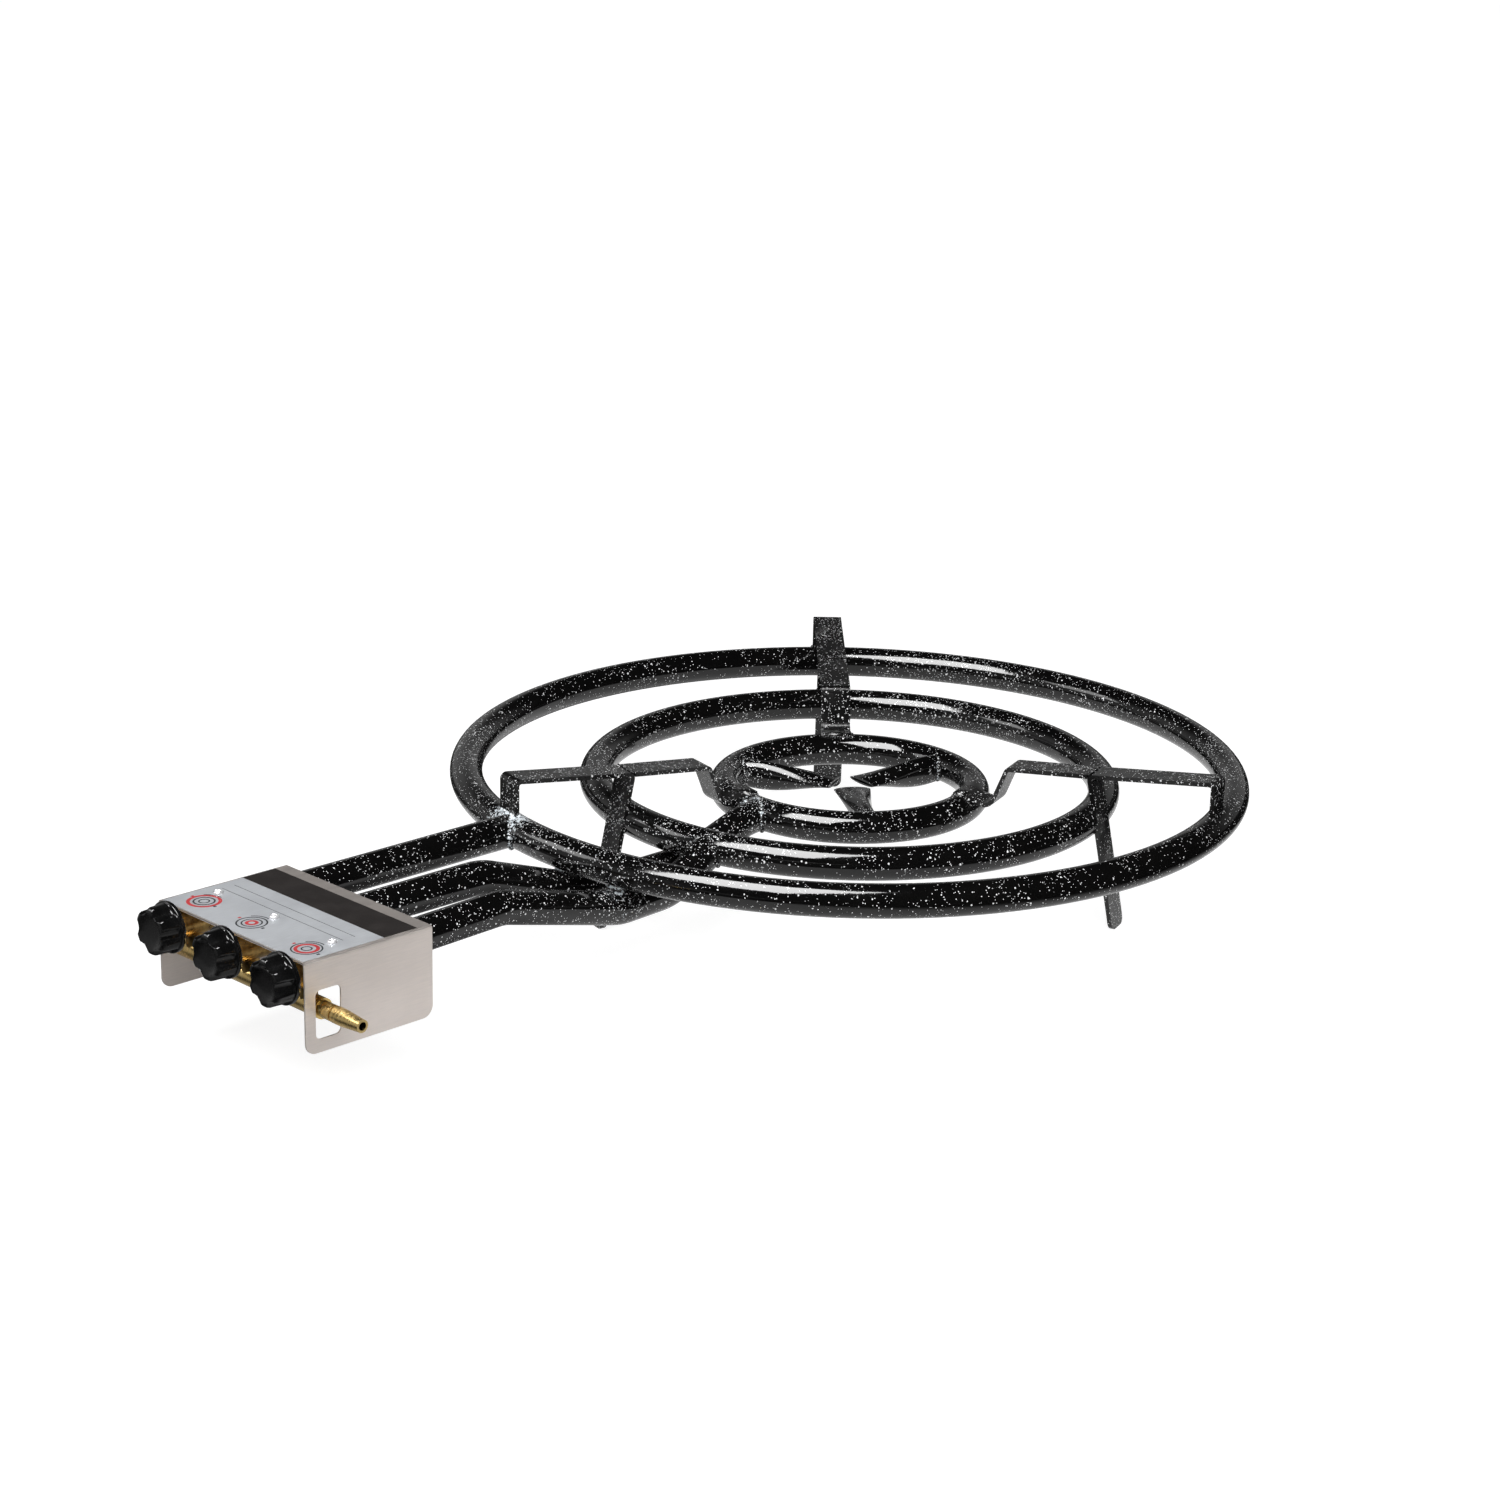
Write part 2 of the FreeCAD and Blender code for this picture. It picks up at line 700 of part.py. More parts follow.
def make_cover():
    """Folded sheet over the taps: a top and two side plates, open below, ahead and behind."""
    half = dim("cover_width") / 2
    thick = dim("sheet_thick")
    side = dim("cover_side")
    body = doc.addObject("PartDesign::Body", "control_cover_body")
    sketch = new_sketch(body, "YZ_Plane", "cover_section")
    draw_outline(sketch, [
        (-half, -side), (-half, ZERO), (half, ZERO), (half, -side),
        (half - thick, -side), (half - thick, -thick), (thick - half, -thick), (thick - half, -side),
    ])
    pad = body.newObject("PartDesign::Pad", "cover_length")
    pad.Profile = sketch
    bind(pad, "Length", dim("cover_depth"))
    doc.recompute()
    near = dim("overrun").value / 10

    fold = body.newObject("PartDesign::Fillet", "cover_fold")
    fold.Base = (pad, edges_along_x(pad.Shape, half.value, 0, near))
    bind(fold, "Radius", dim("sheet_bend"))
    doc.recompute()
    inner_fold = body.newObject("PartDesign::Fillet", "cover_inner_fold")
    inner_fold.Base = (
        fold, edges_along_x(fold.Shape, half.value - thick.value, -thick.value, near))
    bind(inner_fold, "Radius", dim("sheet_bend") - thick)
    doc.recompute()

    shape = inner_fold.Shape
    corners = []
    for index, edge in enumerate(shape.Edges, start=1):
        box = edge.BoundBox
        across = abs(box.YLength - thick.value) < near and box.XLength < near and box.ZLength < near
        if across and abs(box.ZMin + side.value) < near:
            corners.append(f"Edge{index}")
    corner = body.newObject("PartDesign::Fillet", "cover_corners")
    corner.Base = (inner_fold, corners)
    bind(corner, "Radius", dim("cover_corner"))
    put(body, cover_front, ZERO, cover_top)
    window = rounded_window()
    holes = [
        cylinder(f"cover_screw_hole_{tap}", dim("screw_dia"), dim("sheet_thick") * 4, screw_x,
                 dim("pipe_pitch") * TAP_SIDE_SHARES[tap], cover_top - dim("sheet_thick") * 2)
        for tap in TAP_SIDE_SHARES
    ]
    node("control_cover", cut("control_cover_piece", body, [window] + holes))


def rounded_window():
    """The tool that cuts the hose tail's window in the right side plate."""
    body = doc.addObject("PartDesign::Body", "window_tool")
    sketch = new_sketch(body, "XZ_Plane", "window_outline")
    wide, tall = dim("window_width"), dim("window_tall")
    draw_outline(sketch, [(ZERO, ZERO), (wide, ZERO), (wide, -tall), (ZERO, -tall)])
    pad = body.newObject("PartDesign::Pad", "window_pad")
    pad.Profile = sketch
    bind(pad, "Length", dim("sheet_thick") * 4)
    pad.Midplane = True
    doc.recompute()
    upright = [
        f"Edge{index}" for index, edge in enumerate(pad.Shape.Edges, start=1)
        if edge.BoundBox.YLength > dim("sheet_thick").value
    ]
    rounding = body.newObject("PartDesign::Fillet", "window_rounding")
    rounding.Base = (pad, upright)
    bind(rounding, "Radius", dim("window_corner"))
    return put(body, cover_front + dim("window_back"), -dim("cover_width") / 2,
               cover_top - dim("window_drop"))


def make_label():
    """Thin printed sheet on the cover, in a pale front part and a dark band behind."""
    width = dim("cover_width") - dim("label_margin") * 2 - dim("sheet_bend") * 2
    start = dim("label_margin")
    band = dim("label_band_back")
    end = dim("label_end_back")
    pale = block("label_sheet", band - start, width, dim("label_thick"), cover_front + start,
                 -width / 2, cover_top)
    holes = [
        cylinder(f"label_hole_{tap}", dim("screw_dia"), dim("label_thick") * 4, screw_x,
                 dim("pipe_pitch") * TAP_SIDE_SHARES[tap], cover_top - dim("label_thick"))
        for tap in TAP_SIDE_SHARES
    ]
    node("control_label", cut("control_label_piece", pale, holes))
    node("label_band", block("label_band_sheet", end - band, width, dim("label_thick"),
                             cover_front + band, -width / 2, cover_top))


def make_cover_screws():
    """Dome head screws through the cover into the taps' bosses."""
    head_z = cover_top + dim("label_thick")
    depth = dim("screw_depth")
    head_r = dim("screw_head_dia") / 2
    tall = dim("screw_head_tall")
    screws = []
    for tap in TAP_SIDE_SHARES:
        y = dim("pipe_pitch") * TAP_SIDE_SHARES[tap]
        shank = cylinder(f"cover_screw_shank_{tap}", dim("screw_dia"), depth, screw_x, y,
                         head_z - depth)
        dome_r = (head_r * head_r + tall * tall) / (tall * 2)
        ball = doc.addObject("Part::Sphere", f"cover_screw_ball_{tap}")
        bind(ball, "Radius", dome_r)
        put(ball, screw_x, y, head_z + tall - dome_r)
        keep = block(f"cover_screw_keep_{tap}", head_r * 2, head_r * 2, tall, screw_x - head_r,
                     y - head_r, head_z)
        head = doc.addObject("Part::Common", f"cover_screw_head_{tap}")
        head.Base, head.Tool = ball, keep
        screws.append(fuse(f"cover_screw_{tap}", [shank, head]))
    group = doc.addObject("Part::Compound", "cover_screw_group")
    group.Links = screws
    node("cover_screws", group)


def make_rail():
    """Brass rail under the taps, plugged at one end, with the hose tail at the other."""
    half = dim("pipe_pitch") + dim("rail_overhang")
    bar = cylinder("rail_bar", dim("rail_dia"), half * 2, rail_x, -half, rail_z, ALONG_Y)
    bore = cylinder("rail_bore", dim("rail_bore"), half * 2 + dim("overrun") * 2, rail_x,
                    -half - dim("overrun"), rail_z, ALONG_Y)
    ways = [
        cylinder(f"rail_way_{tap}", dim("gas_bore"), dim("rail_dia"), rail_x,
                 dim("pipe_pitch") * TAP_SIDE_SHARES[tap], rail_z)
        for tap in TAP_SIDE_SHARES
    ]
    node("gas_rail", cut("gas_rail_piece", bar, [bore] + ways))
    spigot, head = dim("rail_plug_spigot"), dim("rail_plug_head")
    node("rail_end_plug", turned("rail_plug_body", [
        (ZERO, ZERO), (ZERO, dim("rail_bore") / 2), (spigot, dim("rail_bore") / 2),
        (spigot, dim("rail_dia") / 2), (spigot + head, dim("rail_dia") / 2), (spigot + head, ZERO),
    ], rail_x, half - spigot, rail_z, Rotation(Vector(0, 0, 1), 90)))
    make_hose_tail(half)


def make_hose_tail(half):
    """Turned hose tail that leaves through the window, drawn outwards from the rail's end."""
    spigot = dim("rail_plug_spigot")
    barb_start = dim("tail_barb_start") - half
    barb_end = barb_start + dim("tail_barb_length")
    groove = barb_start - dim("tail_groove_width")
    tip = dim("tail_reach") - half
    bore = dim("tail_bore") / 2
    hex_end = dim("tail_hex_length")
    shank, barb = dim("tail_shank_dia") / 2, dim("tail_barb_dia") / 2
    node("hose_tail", turned("hose_tail_body", [
        (-spigot, bore), (-spigot, dim("rail_bore") / 2), (ZERO, dim("rail_bore") / 2),
        (ZERO, dim("tail_hex_dia") / 2), (hex_end, dim("tail_hex_dia") / 2), (hex_end, shank),
        (groove, shank), (groove, dim("tail_groove_dia") / 2),
        (barb_start, dim("tail_groove_dia") / 2), (barb_start, barb), (barb_end, barb),
        (tip, dim("tail_end_dia") / 2), (tip, bore),
    ], rail_x, -half, rail_z, Rotation(Vector(0, 0, 1), -90)))


def make_tap_body(tap, y):
    """Tap housing: flange, barrel and outlet, an inlet leg to the rail and a boss on top."""
    bonnet = dim("bonnet_thick")
    flange_end = bonnet + dim("flange_thick")
    housing = turned(f"tap_housing_{tap}", [
        (bonnet, ZERO), (bonnet, dim("bonnet_dia") / 2), (flange_end, dim("bonnet_dia") / 2),
        (flange_end, dim("barrel_dia") / 2), (dim("barrel_end"), dim("barrel_dia") / 2),
        (dim("outlet_start"), dim("outlet_dia") / 2), (dim("outlet_end"), dim("outlet_dia") / 2),
        (dim("outlet_end"), ZERO),
    ], tap_front, y, outer_z)
    leg = cylinder(f"tap_leg_{tap}", dim("inlet_dia"), dim("rail_drop"), rail_x, y, rail_z)
    boss = cylinder(f"tap_boss_{tap}", dim("boss_dia"), cover_under - outer_z, screw_x, y, outer_z)
    solid = fuse(f"tap_solid_{tap}", [housing, leg, boss])
    clear = dim("plug_clear")
    chamber = turned(f"tap_chamber_{tap}", [
        (bonnet - dim("overrun"), ZERO), (bonnet - dim("overrun"), dim("chamber_dia") / 2),
        (dim("plug_start"), dim("chamber_dia") / 2),
        (dim("plug_start"), dim("plug_big_dia") / 2 + clear),
        (dim("plug_end"), dim("plug_small_dia") / 2 + clear), (dim("plug_end") + clear, ZERO),
    ], tap_front, y, outer_z)
    outlet = cylinder(f"tap_outlet_{tap}", dim("gas_bore"), dim("outlet_end"),
                      tap_front + dim("plug_end"), y, outer_z, ALONG_X)
    inlet = cylinder(f"tap_inlet_{tap}", dim("gas_bore"), dim("rail_drop"), rail_x, y, rail_z)
    thread = cylinder(f"tap_thread_{tap}", dim("screw_dia"), dim("screw_depth"), screw_x, y,
                      cover_top + dim("label_thick") - dim("screw_depth"))
    rail = cylinder(f"tap_rail_seat_{tap}", dim("rail_dia"), dim("inlet_dia") * 2, rail_x,
                    y - dim("inlet_dia"), rail_z, ALONG_Y)
    drills = [
        cylinder(f"tap_screw_way_{tap}_{side}", dim("bonnet_screw_dia"), dim("flange_thick") * 2,
                 tap_front + bonnet - dim("overrun"), y + dim("bonnet_screw_pitch") / 2 * side,
                 outer_z, ALONG_X)
        for side in (1, -1)
    ]
    node(f"tap_body_{tap}", cut(f"tap_body_piece_{tap}", solid,
                                [chamber, outlet, inlet, thread, rail] + drills))


def make_bonnet(tap, y):
    """Plate that closes the tap's front, held by two small screws."""
    plate = cylinder(f"bonnet_plate_{tap}", dim("bonnet_dia"), dim("bonnet_thick"), tap_front, y,
                     outer_z, ALONG_X)
    bore = cylinder(f"bonnet_bore_{tap}", dim("spindle_dia") + dim("spindle_clear") * 2,
                    dim("bonnet_thick") * 2, tap_front - dim("overrun"), y, outer_z, ALONG_X)
    tools = [bore]
    screws = []
    for side in (1, -1):
        across = y + dim("bonnet_screw_pitch") / 2 * side
        tools.append(cylinder(f"bonnet_hole_{tap}_{side}", dim("bonnet_screw_dia"),
                              dim("bonnet_thick") * 2, tap_front - dim("overrun"), across,
                              outer_z, ALONG_X))
        head = cylinder(f"bonnet_screw_head_{tap}_{side}", dim("bonnet_screw_head_dia"),
                        dim("bonnet_screw_head_tall"), tap_front - dim("bonnet_screw_head_tall"),
                        across, outer_z, ALONG_X)
        shank = cylinder(f"bonnet_screw_shank_{tap}_{side}", dim("bonnet_screw_dia"),
                         dim("bonnet_screw_depth"), tap_front, across, outer_z, ALONG_X)
        screws.append(fuse(f"bonnet_screw_{tap}_{side}", [head, shank]))
    node(f"tap_bonnet_{tap}", cut(f"tap_bonnet_piece_{tap}", plate, tools))
    return screws


def make_plug(tap, y):
    """Tapered plug, shut at rest, with a main port, a low port and a slot for the spindle."""
    start, end = dim("plug_start"), dim("plug_end")
    cone_body = turned(f"plug_cone_{tap}", [
        (start, ZERO), (start, dim("plug_big_dia") / 2), (end, dim("plug_small_dia") / 2),
        (end, ZERO),
    ], tap_front, y, outer_z)
    port = cylinder(f"plug_port_{tap}", dim("gas_bore"), dim("plug_big_dia"), rail_x, y, outer_z,
                    ALONG_Y)
    low_port = cylinder(f"plug_low_port_{tap}", dim("low_bore"), dim("plug_big_dia"), rail_x, y,
                        outer_z)
    way = cylinder(f"plug_way_{tap}", dim("gas_bore"), end - dim("rail_back"), rail_x, y, outer_z,
                   ALONG_X)
    slot_wide = dim("blade_wide") + dim("slot_clear") * 2
    slot_thick = dim("blade_thick") + dim("slot_clear") * 2
    slot = block(f"plug_slot_{tap}", dim("slot_depth") + dim("overrun"), slot_thick, slot_wide,
                 tap_front + start - dim("overrun"), y - slot_thick / 2, outer_z - slot_wide / 2)
    node(f"tap_plug_{tap}", cut(f"tap_plug_piece_{tap}", cone_body, [port, low_port, way, slot]))


def spindle_end(name, y):
    """The D shaped end of the spindle, shared by the spindle and the knob's hole."""
    ahead = dim("spindle_ahead")
    rod = cylinder(f"{name}_rod", dim("spindle_dia"), ahead, tap_front - ahead, y, outer_z, ALONG_X)
    wide = dim("spindle_dia")
    keep = block(f"{name}_keep", ahead, wide, wide / 2 + dim("spindle_flat"),
                 tap_front - ahead, y - wide / 2, outer_z - wide / 2)
    end = doc.addObject("Part::Common", name)
    end.Base, end.Tool = rod, keep
    return end


def make_spindle(tap, y):
    """Spindle that turns the plug through its blade and can be pushed in against a spring."""
    end = spindle_end(f"spindle_end_{tap}", y)
    stem = turned(f"spindle_stem_{tap}", [
        (ZERO, ZERO), (ZERO, dim("spindle_dia") / 2), (dim("collar_start"), dim("spindle_dia") / 2),
        (dim("collar_start"), dim("collar_dia") / 2),
        (dim("collar_start") + dim("collar_thick"), dim("collar_dia") / 2),
        (dim("collar_start") + dim("collar_thick"), dim("spindle_core_dia") / 2),
        (dim("core_end"), dim("spindle_core_dia") / 2), (dim("core_end"), ZERO),
    ], tap_front, y, outer_z)
    blade = block(f"spindle_blade_{tap}", dim("blade_end") - dim("collar_start"),
                  dim("blade_thick"), dim("blade_wide"), tap_front + dim("collar_start"),
                  y - dim("blade_thick") / 2, outer_z - dim("blade_wide") / 2)
    node(f"tap_spindle_{tap}", fuse(f"tap_spindle_piece_{tap}", [end, stem, blade]))


def make_spring(tap, y):
    """Return spring between the spindle's collar and the plug, one flat wire in a helix."""
    thick = dim("spring_wire_thick").value
    clear = dim("plug_clear").value
    start = (tap_front.value + dim("collar_start").value + dim("collar_thick").value
             + thick / 2 + clear)
    finish = tap_front.value + dim("plug_start").value - thick / 2 - clear
    radius = dim("spring_mean_dia").value / 2
    pitch = (finish - start) / dim("spring_turns").value
    helix = Part.makeHelix(pitch, finish - start, radius)
    inside = radius - dim("spring_wire_wide").value / 2
    outside = radius + dim("spring_wire_wide").value / 2
    section = Part.makePolygon([
        Vector(inside, 0, -thick / 2), Vector(outside, 0, -thick / 2),
        Vector(outside, 0, thick / 2), Vector(inside, 0, thick / 2), Vector(inside, 0, -thick / 2),
    ])
    coil = Part.Wire(helix).makePipeShell([section], True, True)
    place = Placement(Vector(start, y.value, outer_z.value), ALONG_X)
    node(f"tap_spring_{tap}", formed(f"tap_spring_coil_{tap}", coil, place))


def make_injector(tap, y):
    """Jet screwed into the tap's outlet, pointing into the mixer cap."""
    start = dim("outlet_end")
    nose = start + dim("injector_length")
    length = nose - dim("injector_nose_length")
    node(f"injector_{tap}", turned(f"injector_body_{tap}", [
        (start, dim("jet_dia") / 2), (start, dim("injector_hex") / 2),
        (length, dim("injector_hex") / 2), (length, dim("injector_nose_dia") / 2),
        (nose, dim("injector_nose_dia") / 2), (nose, dim("jet_dia") / 2),
    ], tap_front, y, outer_z))


def make_mixer_cap(tap, y, heading):
    """Cap in a pipe's mouth: it carries the jet and lets air in through small holes."""
    flange, spigot = dim("cap_flange"), dim("cap_spigot")
    body = turned(f"cap_body_{tap}", [
        (-flange, ZERO), (-flange, dim("tube_dia") / 2), (ZERO, dim("tube_dia") / 2),
        (ZERO, tube_bore / 2), (spigot, tube_bore / 2), (spigot, ZERO),
    ], mouth_x, y, outer_z, Rotation(Vector(0, 0, 1), heading))
    nose = cylinder(f"cap_nose_seat_{tap}", dim("injector_nose_dia"),
                    flange + spigot + dim("overrun") * 2, mouth_x - flange - dim("overrun"), y,
                    outer_z, ALONG_X)
    tools = [nose]
    count = round(dim("air_hole_count").value)
    for index in range(count):
        angle = math.radians(360 * (index + 0.5) / count)
        reach = dim("air_hole_pitch_dia") / 2
        tools.append(cylinder(
            f"cap_air_hole_{tap}_{index}", dim("air_hole_dia"),
            flange + spigot + dim("overrun") * 2, mouth_x - flange - dim("overrun"),
            y + reach * math.cos(angle), outer_z + reach * math.sin(angle), ALONG_X))
    node(f"mixer_cap_{tap}", cut(f"mixer_cap_piece_{tap}", body, tools))


def make_knob(tap, y):
    """Moulded knob: a round base, a grip with flutes, a sunk front and a hollow back with a hub.

    The flutes lean outwards, so they are deepest at the front and run out at the base.
    """
    tall = dim("knob_tall")
    base = dim("knob_base_tall")
    hollow_end = tall - dim("knob_hollow_deep")
    hub_end = tall - dim("knob_hub_short")
    body = turned(f"knob_body_{tap}", [
        (dim("knob_face_sink"), ZERO), (dim("knob_face_sink"), dim("knob_face_dia") / 2),
        (ZERO, dim("knob_face_dia") / 2 + dim("knob_face_sink")),
        (ZERO, dim("knob_front_dia") / 2), (dim("knob_shoulder"), dim("knob_shoulder_dia") / 2),
        (tall - base, dim("knob_grip_dia") / 2), (tall - base, dim("knob_dia") / 2),
        (tall, dim("knob_dia") / 2), (tall, dim("knob_hollow_dia") / 2),
        (hollow_end, dim("knob_hollow_dia") / 2), (hollow_end, dim("knob_hub_dia") / 2),
        (hub_end, dim("knob_hub_dia") / 2), (hub_end, ZERO),
    ], knob_front, y, outer_z)
    lobes = round(dim("knob_lobes").value)
    lean = math.radians(dim("flute_lean").value)
    run = tall - base + dim("overrun") - dim("flute_dia") / 2 * math.sin(lean)
    reach = dim("flute_pitch_dia") / 2 - dim("overrun") * math.tan(lean)
    tools = []
    for index in range(lobes):
        angle = 2 * math.pi * (index + 0.5) / lobes
        outwards = Vector(0, math.sin(angle), math.cos(angle))
        axis = Vector(math.cos(lean), 0, 0) + outwards * math.sin(lean)
        tools.append(cylinder(
            f"knob_flute_{tap}_{index}", dim("flute_dia"), run / math.cos(lean),
            knob_front - dim("overrun"), y + reach * outwards.y, outer_z + reach * outwards.z,
            Rotation(Vector(0, 0, 1), axis)))
    tools.append(spindle_end(f"knob_hole_{tap}", y))
    node(f"knob_{tap}", cut(f"knob_piece_{tap}", body, tools))


def make_ties(headings):
    """Weld pegs that tie the two dipping pipes to the outer ring above them."""
    reach = centre_radius("outer").value
    ring = Part.makeTorus(reach, dim("tube_dia").value / 2)
    ring.translate(Vector(ring_x.value, 0, outer_z.value))
    drop = dim("tube_dia").value + dim("tie_gap").value
    ties = []
    for number, label in ((2, "inner_feed_pipe"), (3, "middle_feed_pipe")):
        side = dim("pipe_pitch").value * TAP_SIDE_SHARES[number]
        turn = math.radians(headings[number])
        run = run_to_ring(side, headings[number], "outer")
        x = mouth_x.value + run * math.cos(turn)
        y = side + run * math.sin(turn)
        peg = Part.makeCylinder(dim("tie_dia").value / 2, drop, Vector(x, y, outer_z.value - drop))
        ties.append(peg.cut(ring).cut(doc.getObject(f"{label}_bar").Shape).Solids[0])
    node("pipe_ties", formed("pipe_tie_pair", Part.makeCompound(ties)))


def check_and_write():
    """Stop on any failed object or bad shape, then write one file for each sub-part."""
    doc.recompute()
    for thing in doc.Objects:
        if "Invalid" in thing.State or "Error" in thing.State:
            raise RuntimeError(f"{thing.Name} failed: {thing.State}")
    os.makedirs("parts", exist_ok=True)
    for label, thing in nodes.items():
        shape = thing.Shape
        if shape.isNull() or not shape.isValid() or not shape.Solids:
            raise RuntimeError(f"{label} has a bad shape")
        shape.exportStep(f"parts/{label}.step")
        print(f"{label}: {len(shape.Solids)} solid, {shape.Volume:.0f} mm3")


gas_ways, pipe_headings = make_feed_pipes()
for ring_name, gas_way_bar in gas_ways.items():
    make_ring(ring_name, gas_way_bar)
make_spurs()
make_supports()
make_ties(pipe_headings)
make_cover()
make_label()
make_cover_screws()
make_rail()
bonnet_screws = []
for tap_number in TAP_SIDE_SHARES:
    side_y = dim("pipe_pitch") * TAP_SIDE_SHARES[tap_number]
    make_tap_body(tap_number, side_y)
    bonnet_screws += make_bonnet(tap_number, side_y)
    make_plug(tap_number, side_y)
    make_spindle(tap_number, side_y)
    make_spring(tap_number, side_y)
    make_injector(tap_number, side_y)
    make_mixer_cap(tap_number, side_y, pipe_headings[tap_number])
    make_knob(tap_number, side_y)
screw_group = doc.addObject("Part::Compound", "bonnet_screw_group")
screw_group.Links = bonnet_screws
node("bonnet_screws", screw_group)
check_and_write()
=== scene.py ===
# %% [markdown]
# # A three ring gas burner, dressed for its portrait
# The imported CAD model gives every solid piece: rings, pipes, supports, folded cover, taps and
# knobs. This script keeps those pieces where they are, gives each one a finish built from
# shader nodes, and adds what a solid model lacks: weld beads, softly moulded knobs, printed
# marks and recessed screw heads.
#
# We start by loading the fixed frame.

# %% Load the frame
import math

import bmesh
import bpy
from mathutils import Matrix, Vector


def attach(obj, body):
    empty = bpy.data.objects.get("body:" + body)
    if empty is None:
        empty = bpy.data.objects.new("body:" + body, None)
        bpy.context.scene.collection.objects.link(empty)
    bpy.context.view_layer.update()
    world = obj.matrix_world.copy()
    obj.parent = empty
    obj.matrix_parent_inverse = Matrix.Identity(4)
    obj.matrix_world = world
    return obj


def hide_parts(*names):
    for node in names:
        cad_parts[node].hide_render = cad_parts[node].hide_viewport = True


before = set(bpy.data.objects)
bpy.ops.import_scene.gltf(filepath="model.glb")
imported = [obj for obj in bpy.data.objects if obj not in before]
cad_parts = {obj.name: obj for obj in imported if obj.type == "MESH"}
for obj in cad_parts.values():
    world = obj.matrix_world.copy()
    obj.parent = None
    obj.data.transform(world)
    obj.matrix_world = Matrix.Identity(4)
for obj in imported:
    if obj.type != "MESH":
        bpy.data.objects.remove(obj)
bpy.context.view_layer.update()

print("nodes:", len(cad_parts))

# %% [markdown]
# ## Sizes that several steps share
# Blender works in metres, and the burner was designed in millimetres. The few places that the
# dressing needs are written here once, in metres: where the rings are, how thick their tube
# is, and where the label lies. Every later cell uses these names.

# %% Shared sizes
MM = 0.001
TUBE_R = 12 * MM
RING_X = 145 * MM
RINGS = {
    "outer": (288.0 * MM, 87 * MM),
    "middle": (191.5 * MM, 79 * MM),
    "inner": (94.0 * MM, 72 * MM),
}
TAP_Y = {1: 60 * MM, 2: 0.0, 3: -60 * MM}
KNOB_BODY = {1: "outer_knob", 2: "inner_knob", 3: "middle_knob"}
COVER_FRONT = -425.5 * MM
LABEL_TOP = 100.5 * MM
SUPPORTS = ((46.8, 5.0 * MM), (167.5, -0.7 * MM), (289.1, 0.4 * MM))
STRAP_WIDE = 22.8 * MM
MIDDLE_TURN = 193.2
SPUR_TURNS = (-6.8, 113.2, 233.2)
UP = Vector((0, 0, 1))
DOWN = Vector((0, 0, -1))


def new_object(name, data):
    """A new object, linked to the scene."""
    made = bpy.data.objects.new(name, data)
    bpy.context.scene.collection.objects.link(made)
    return made


def level(azimuth):
    """The level direction at an azimuth in degrees."""
    return Vector((math.cos(math.radians(azimuth)), math.sin(math.radians(azimuth)), 0))


def on_ring(ring, azimuth, section_angle=0.0, lift=0.0):
    """A point on a ring's tube: azimuth around the ring, then an angle up around the tube."""
    reach, height = RINGS[ring]
    turn, rise = math.radians(azimuth), math.radians(section_angle)
    radius = reach + (TUBE_R + lift) * math.cos(rise)
    return Vector((RING_X + radius * math.cos(turn), radius * math.sin(turn),
                   height + (TUBE_R + lift) * math.sin(rise)))


print("ring centre lines, mm:", {k: (v[0] / MM, v[1] / MM) for k, v in RINGS.items()})

# %% [markdown]
# ## The camera
# The photograph was taken from the front left of the hose side, a little above the burner,
# with a long lens. The place, the turn and the focal length below come from fitting the ring
# ellipses in the picture. The camera is built from three direction vectors, because a long
# lens is sensitive to small angles and vectors keep them exact.

# %% Place the camera
camera_data = bpy.data.cameras.new("portrait_camera")
camera_data.sensor_width = 36.0
camera_data.lens = 80.156
camera_data.shift_x = -0.0667
camera_data.shift_y = 0.01207
camera_data.clip_end = 60.0
camera = new_object("portrait_camera", camera_data)
right = Vector((0.69147, -0.72175, 0.03070))
up = Vector((0.20329, 0.23519, 0.95045))
back = Vector((-0.69321, -0.65097, 0.30935))
place = Vector((-1.60259, -1.64109, 0.86687))
turned = Matrix((right, up, back)).transposed().to_4x4()
camera.matrix_world = Matrix.Translation(place) @ turned
bpy.context.scene.camera = camera
bpy.context.scene.view_settings.view_transform = "Standard"
print("camera distance to the rings, m:", round((place - Vector((RING_X, 0, 0.08))).length, 3))

# %% [markdown]
# ## Small helpers for node trees
# Shader trees and geometry trees are both lists of nodes joined by links. A few short helpers
# keep the later cells readable: one adds a node, sets its properties and feeds its inputs, and
# the others wrap what every tree here needs, such as math, soft ranges, noise, bump and mixed
# colours. The last one starts a node group with named sockets.

# %% Node helpers
def feed(tree, socket, value):
    """Give an input socket a plain value, or join it to another node's output."""
    if isinstance(value, bpy.types.NodeSocket):
        tree.links.new(value, socket)
    else:
        socket.default_value = value


def add(tree, kind, inputs=None, **settings):
    """Add a node, set its properties, and feed its inputs."""
    made = tree.nodes.new(kind)
    for name, value in settings.items():
        setattr(made, name, value)
    for name, value in (inputs or {}).items():
        feed(tree, made.inputs[name], value)
    return made


def math_node(tree, operation, first, second=0.0, clamp=False):
    """One Math node, given back as its output socket."""
    return add(tree, "ShaderNodeMath", {0: first, 1: second}, operation=operation,
               use_clamp=clamp).outputs[0]


def vector_math(tree, operation, first, second=(0.0, 0.0, 0.0)):
    """One Vector Math node, given back as the output that its operation fills."""
    made = add(tree, "ShaderNodeVectorMath", {0: first, 1: second}, operation=operation)
    one_number = operation in ("DISTANCE", "DOT_PRODUCT", "LENGTH")
    return made.outputs["Value" if one_number else "Vector"]


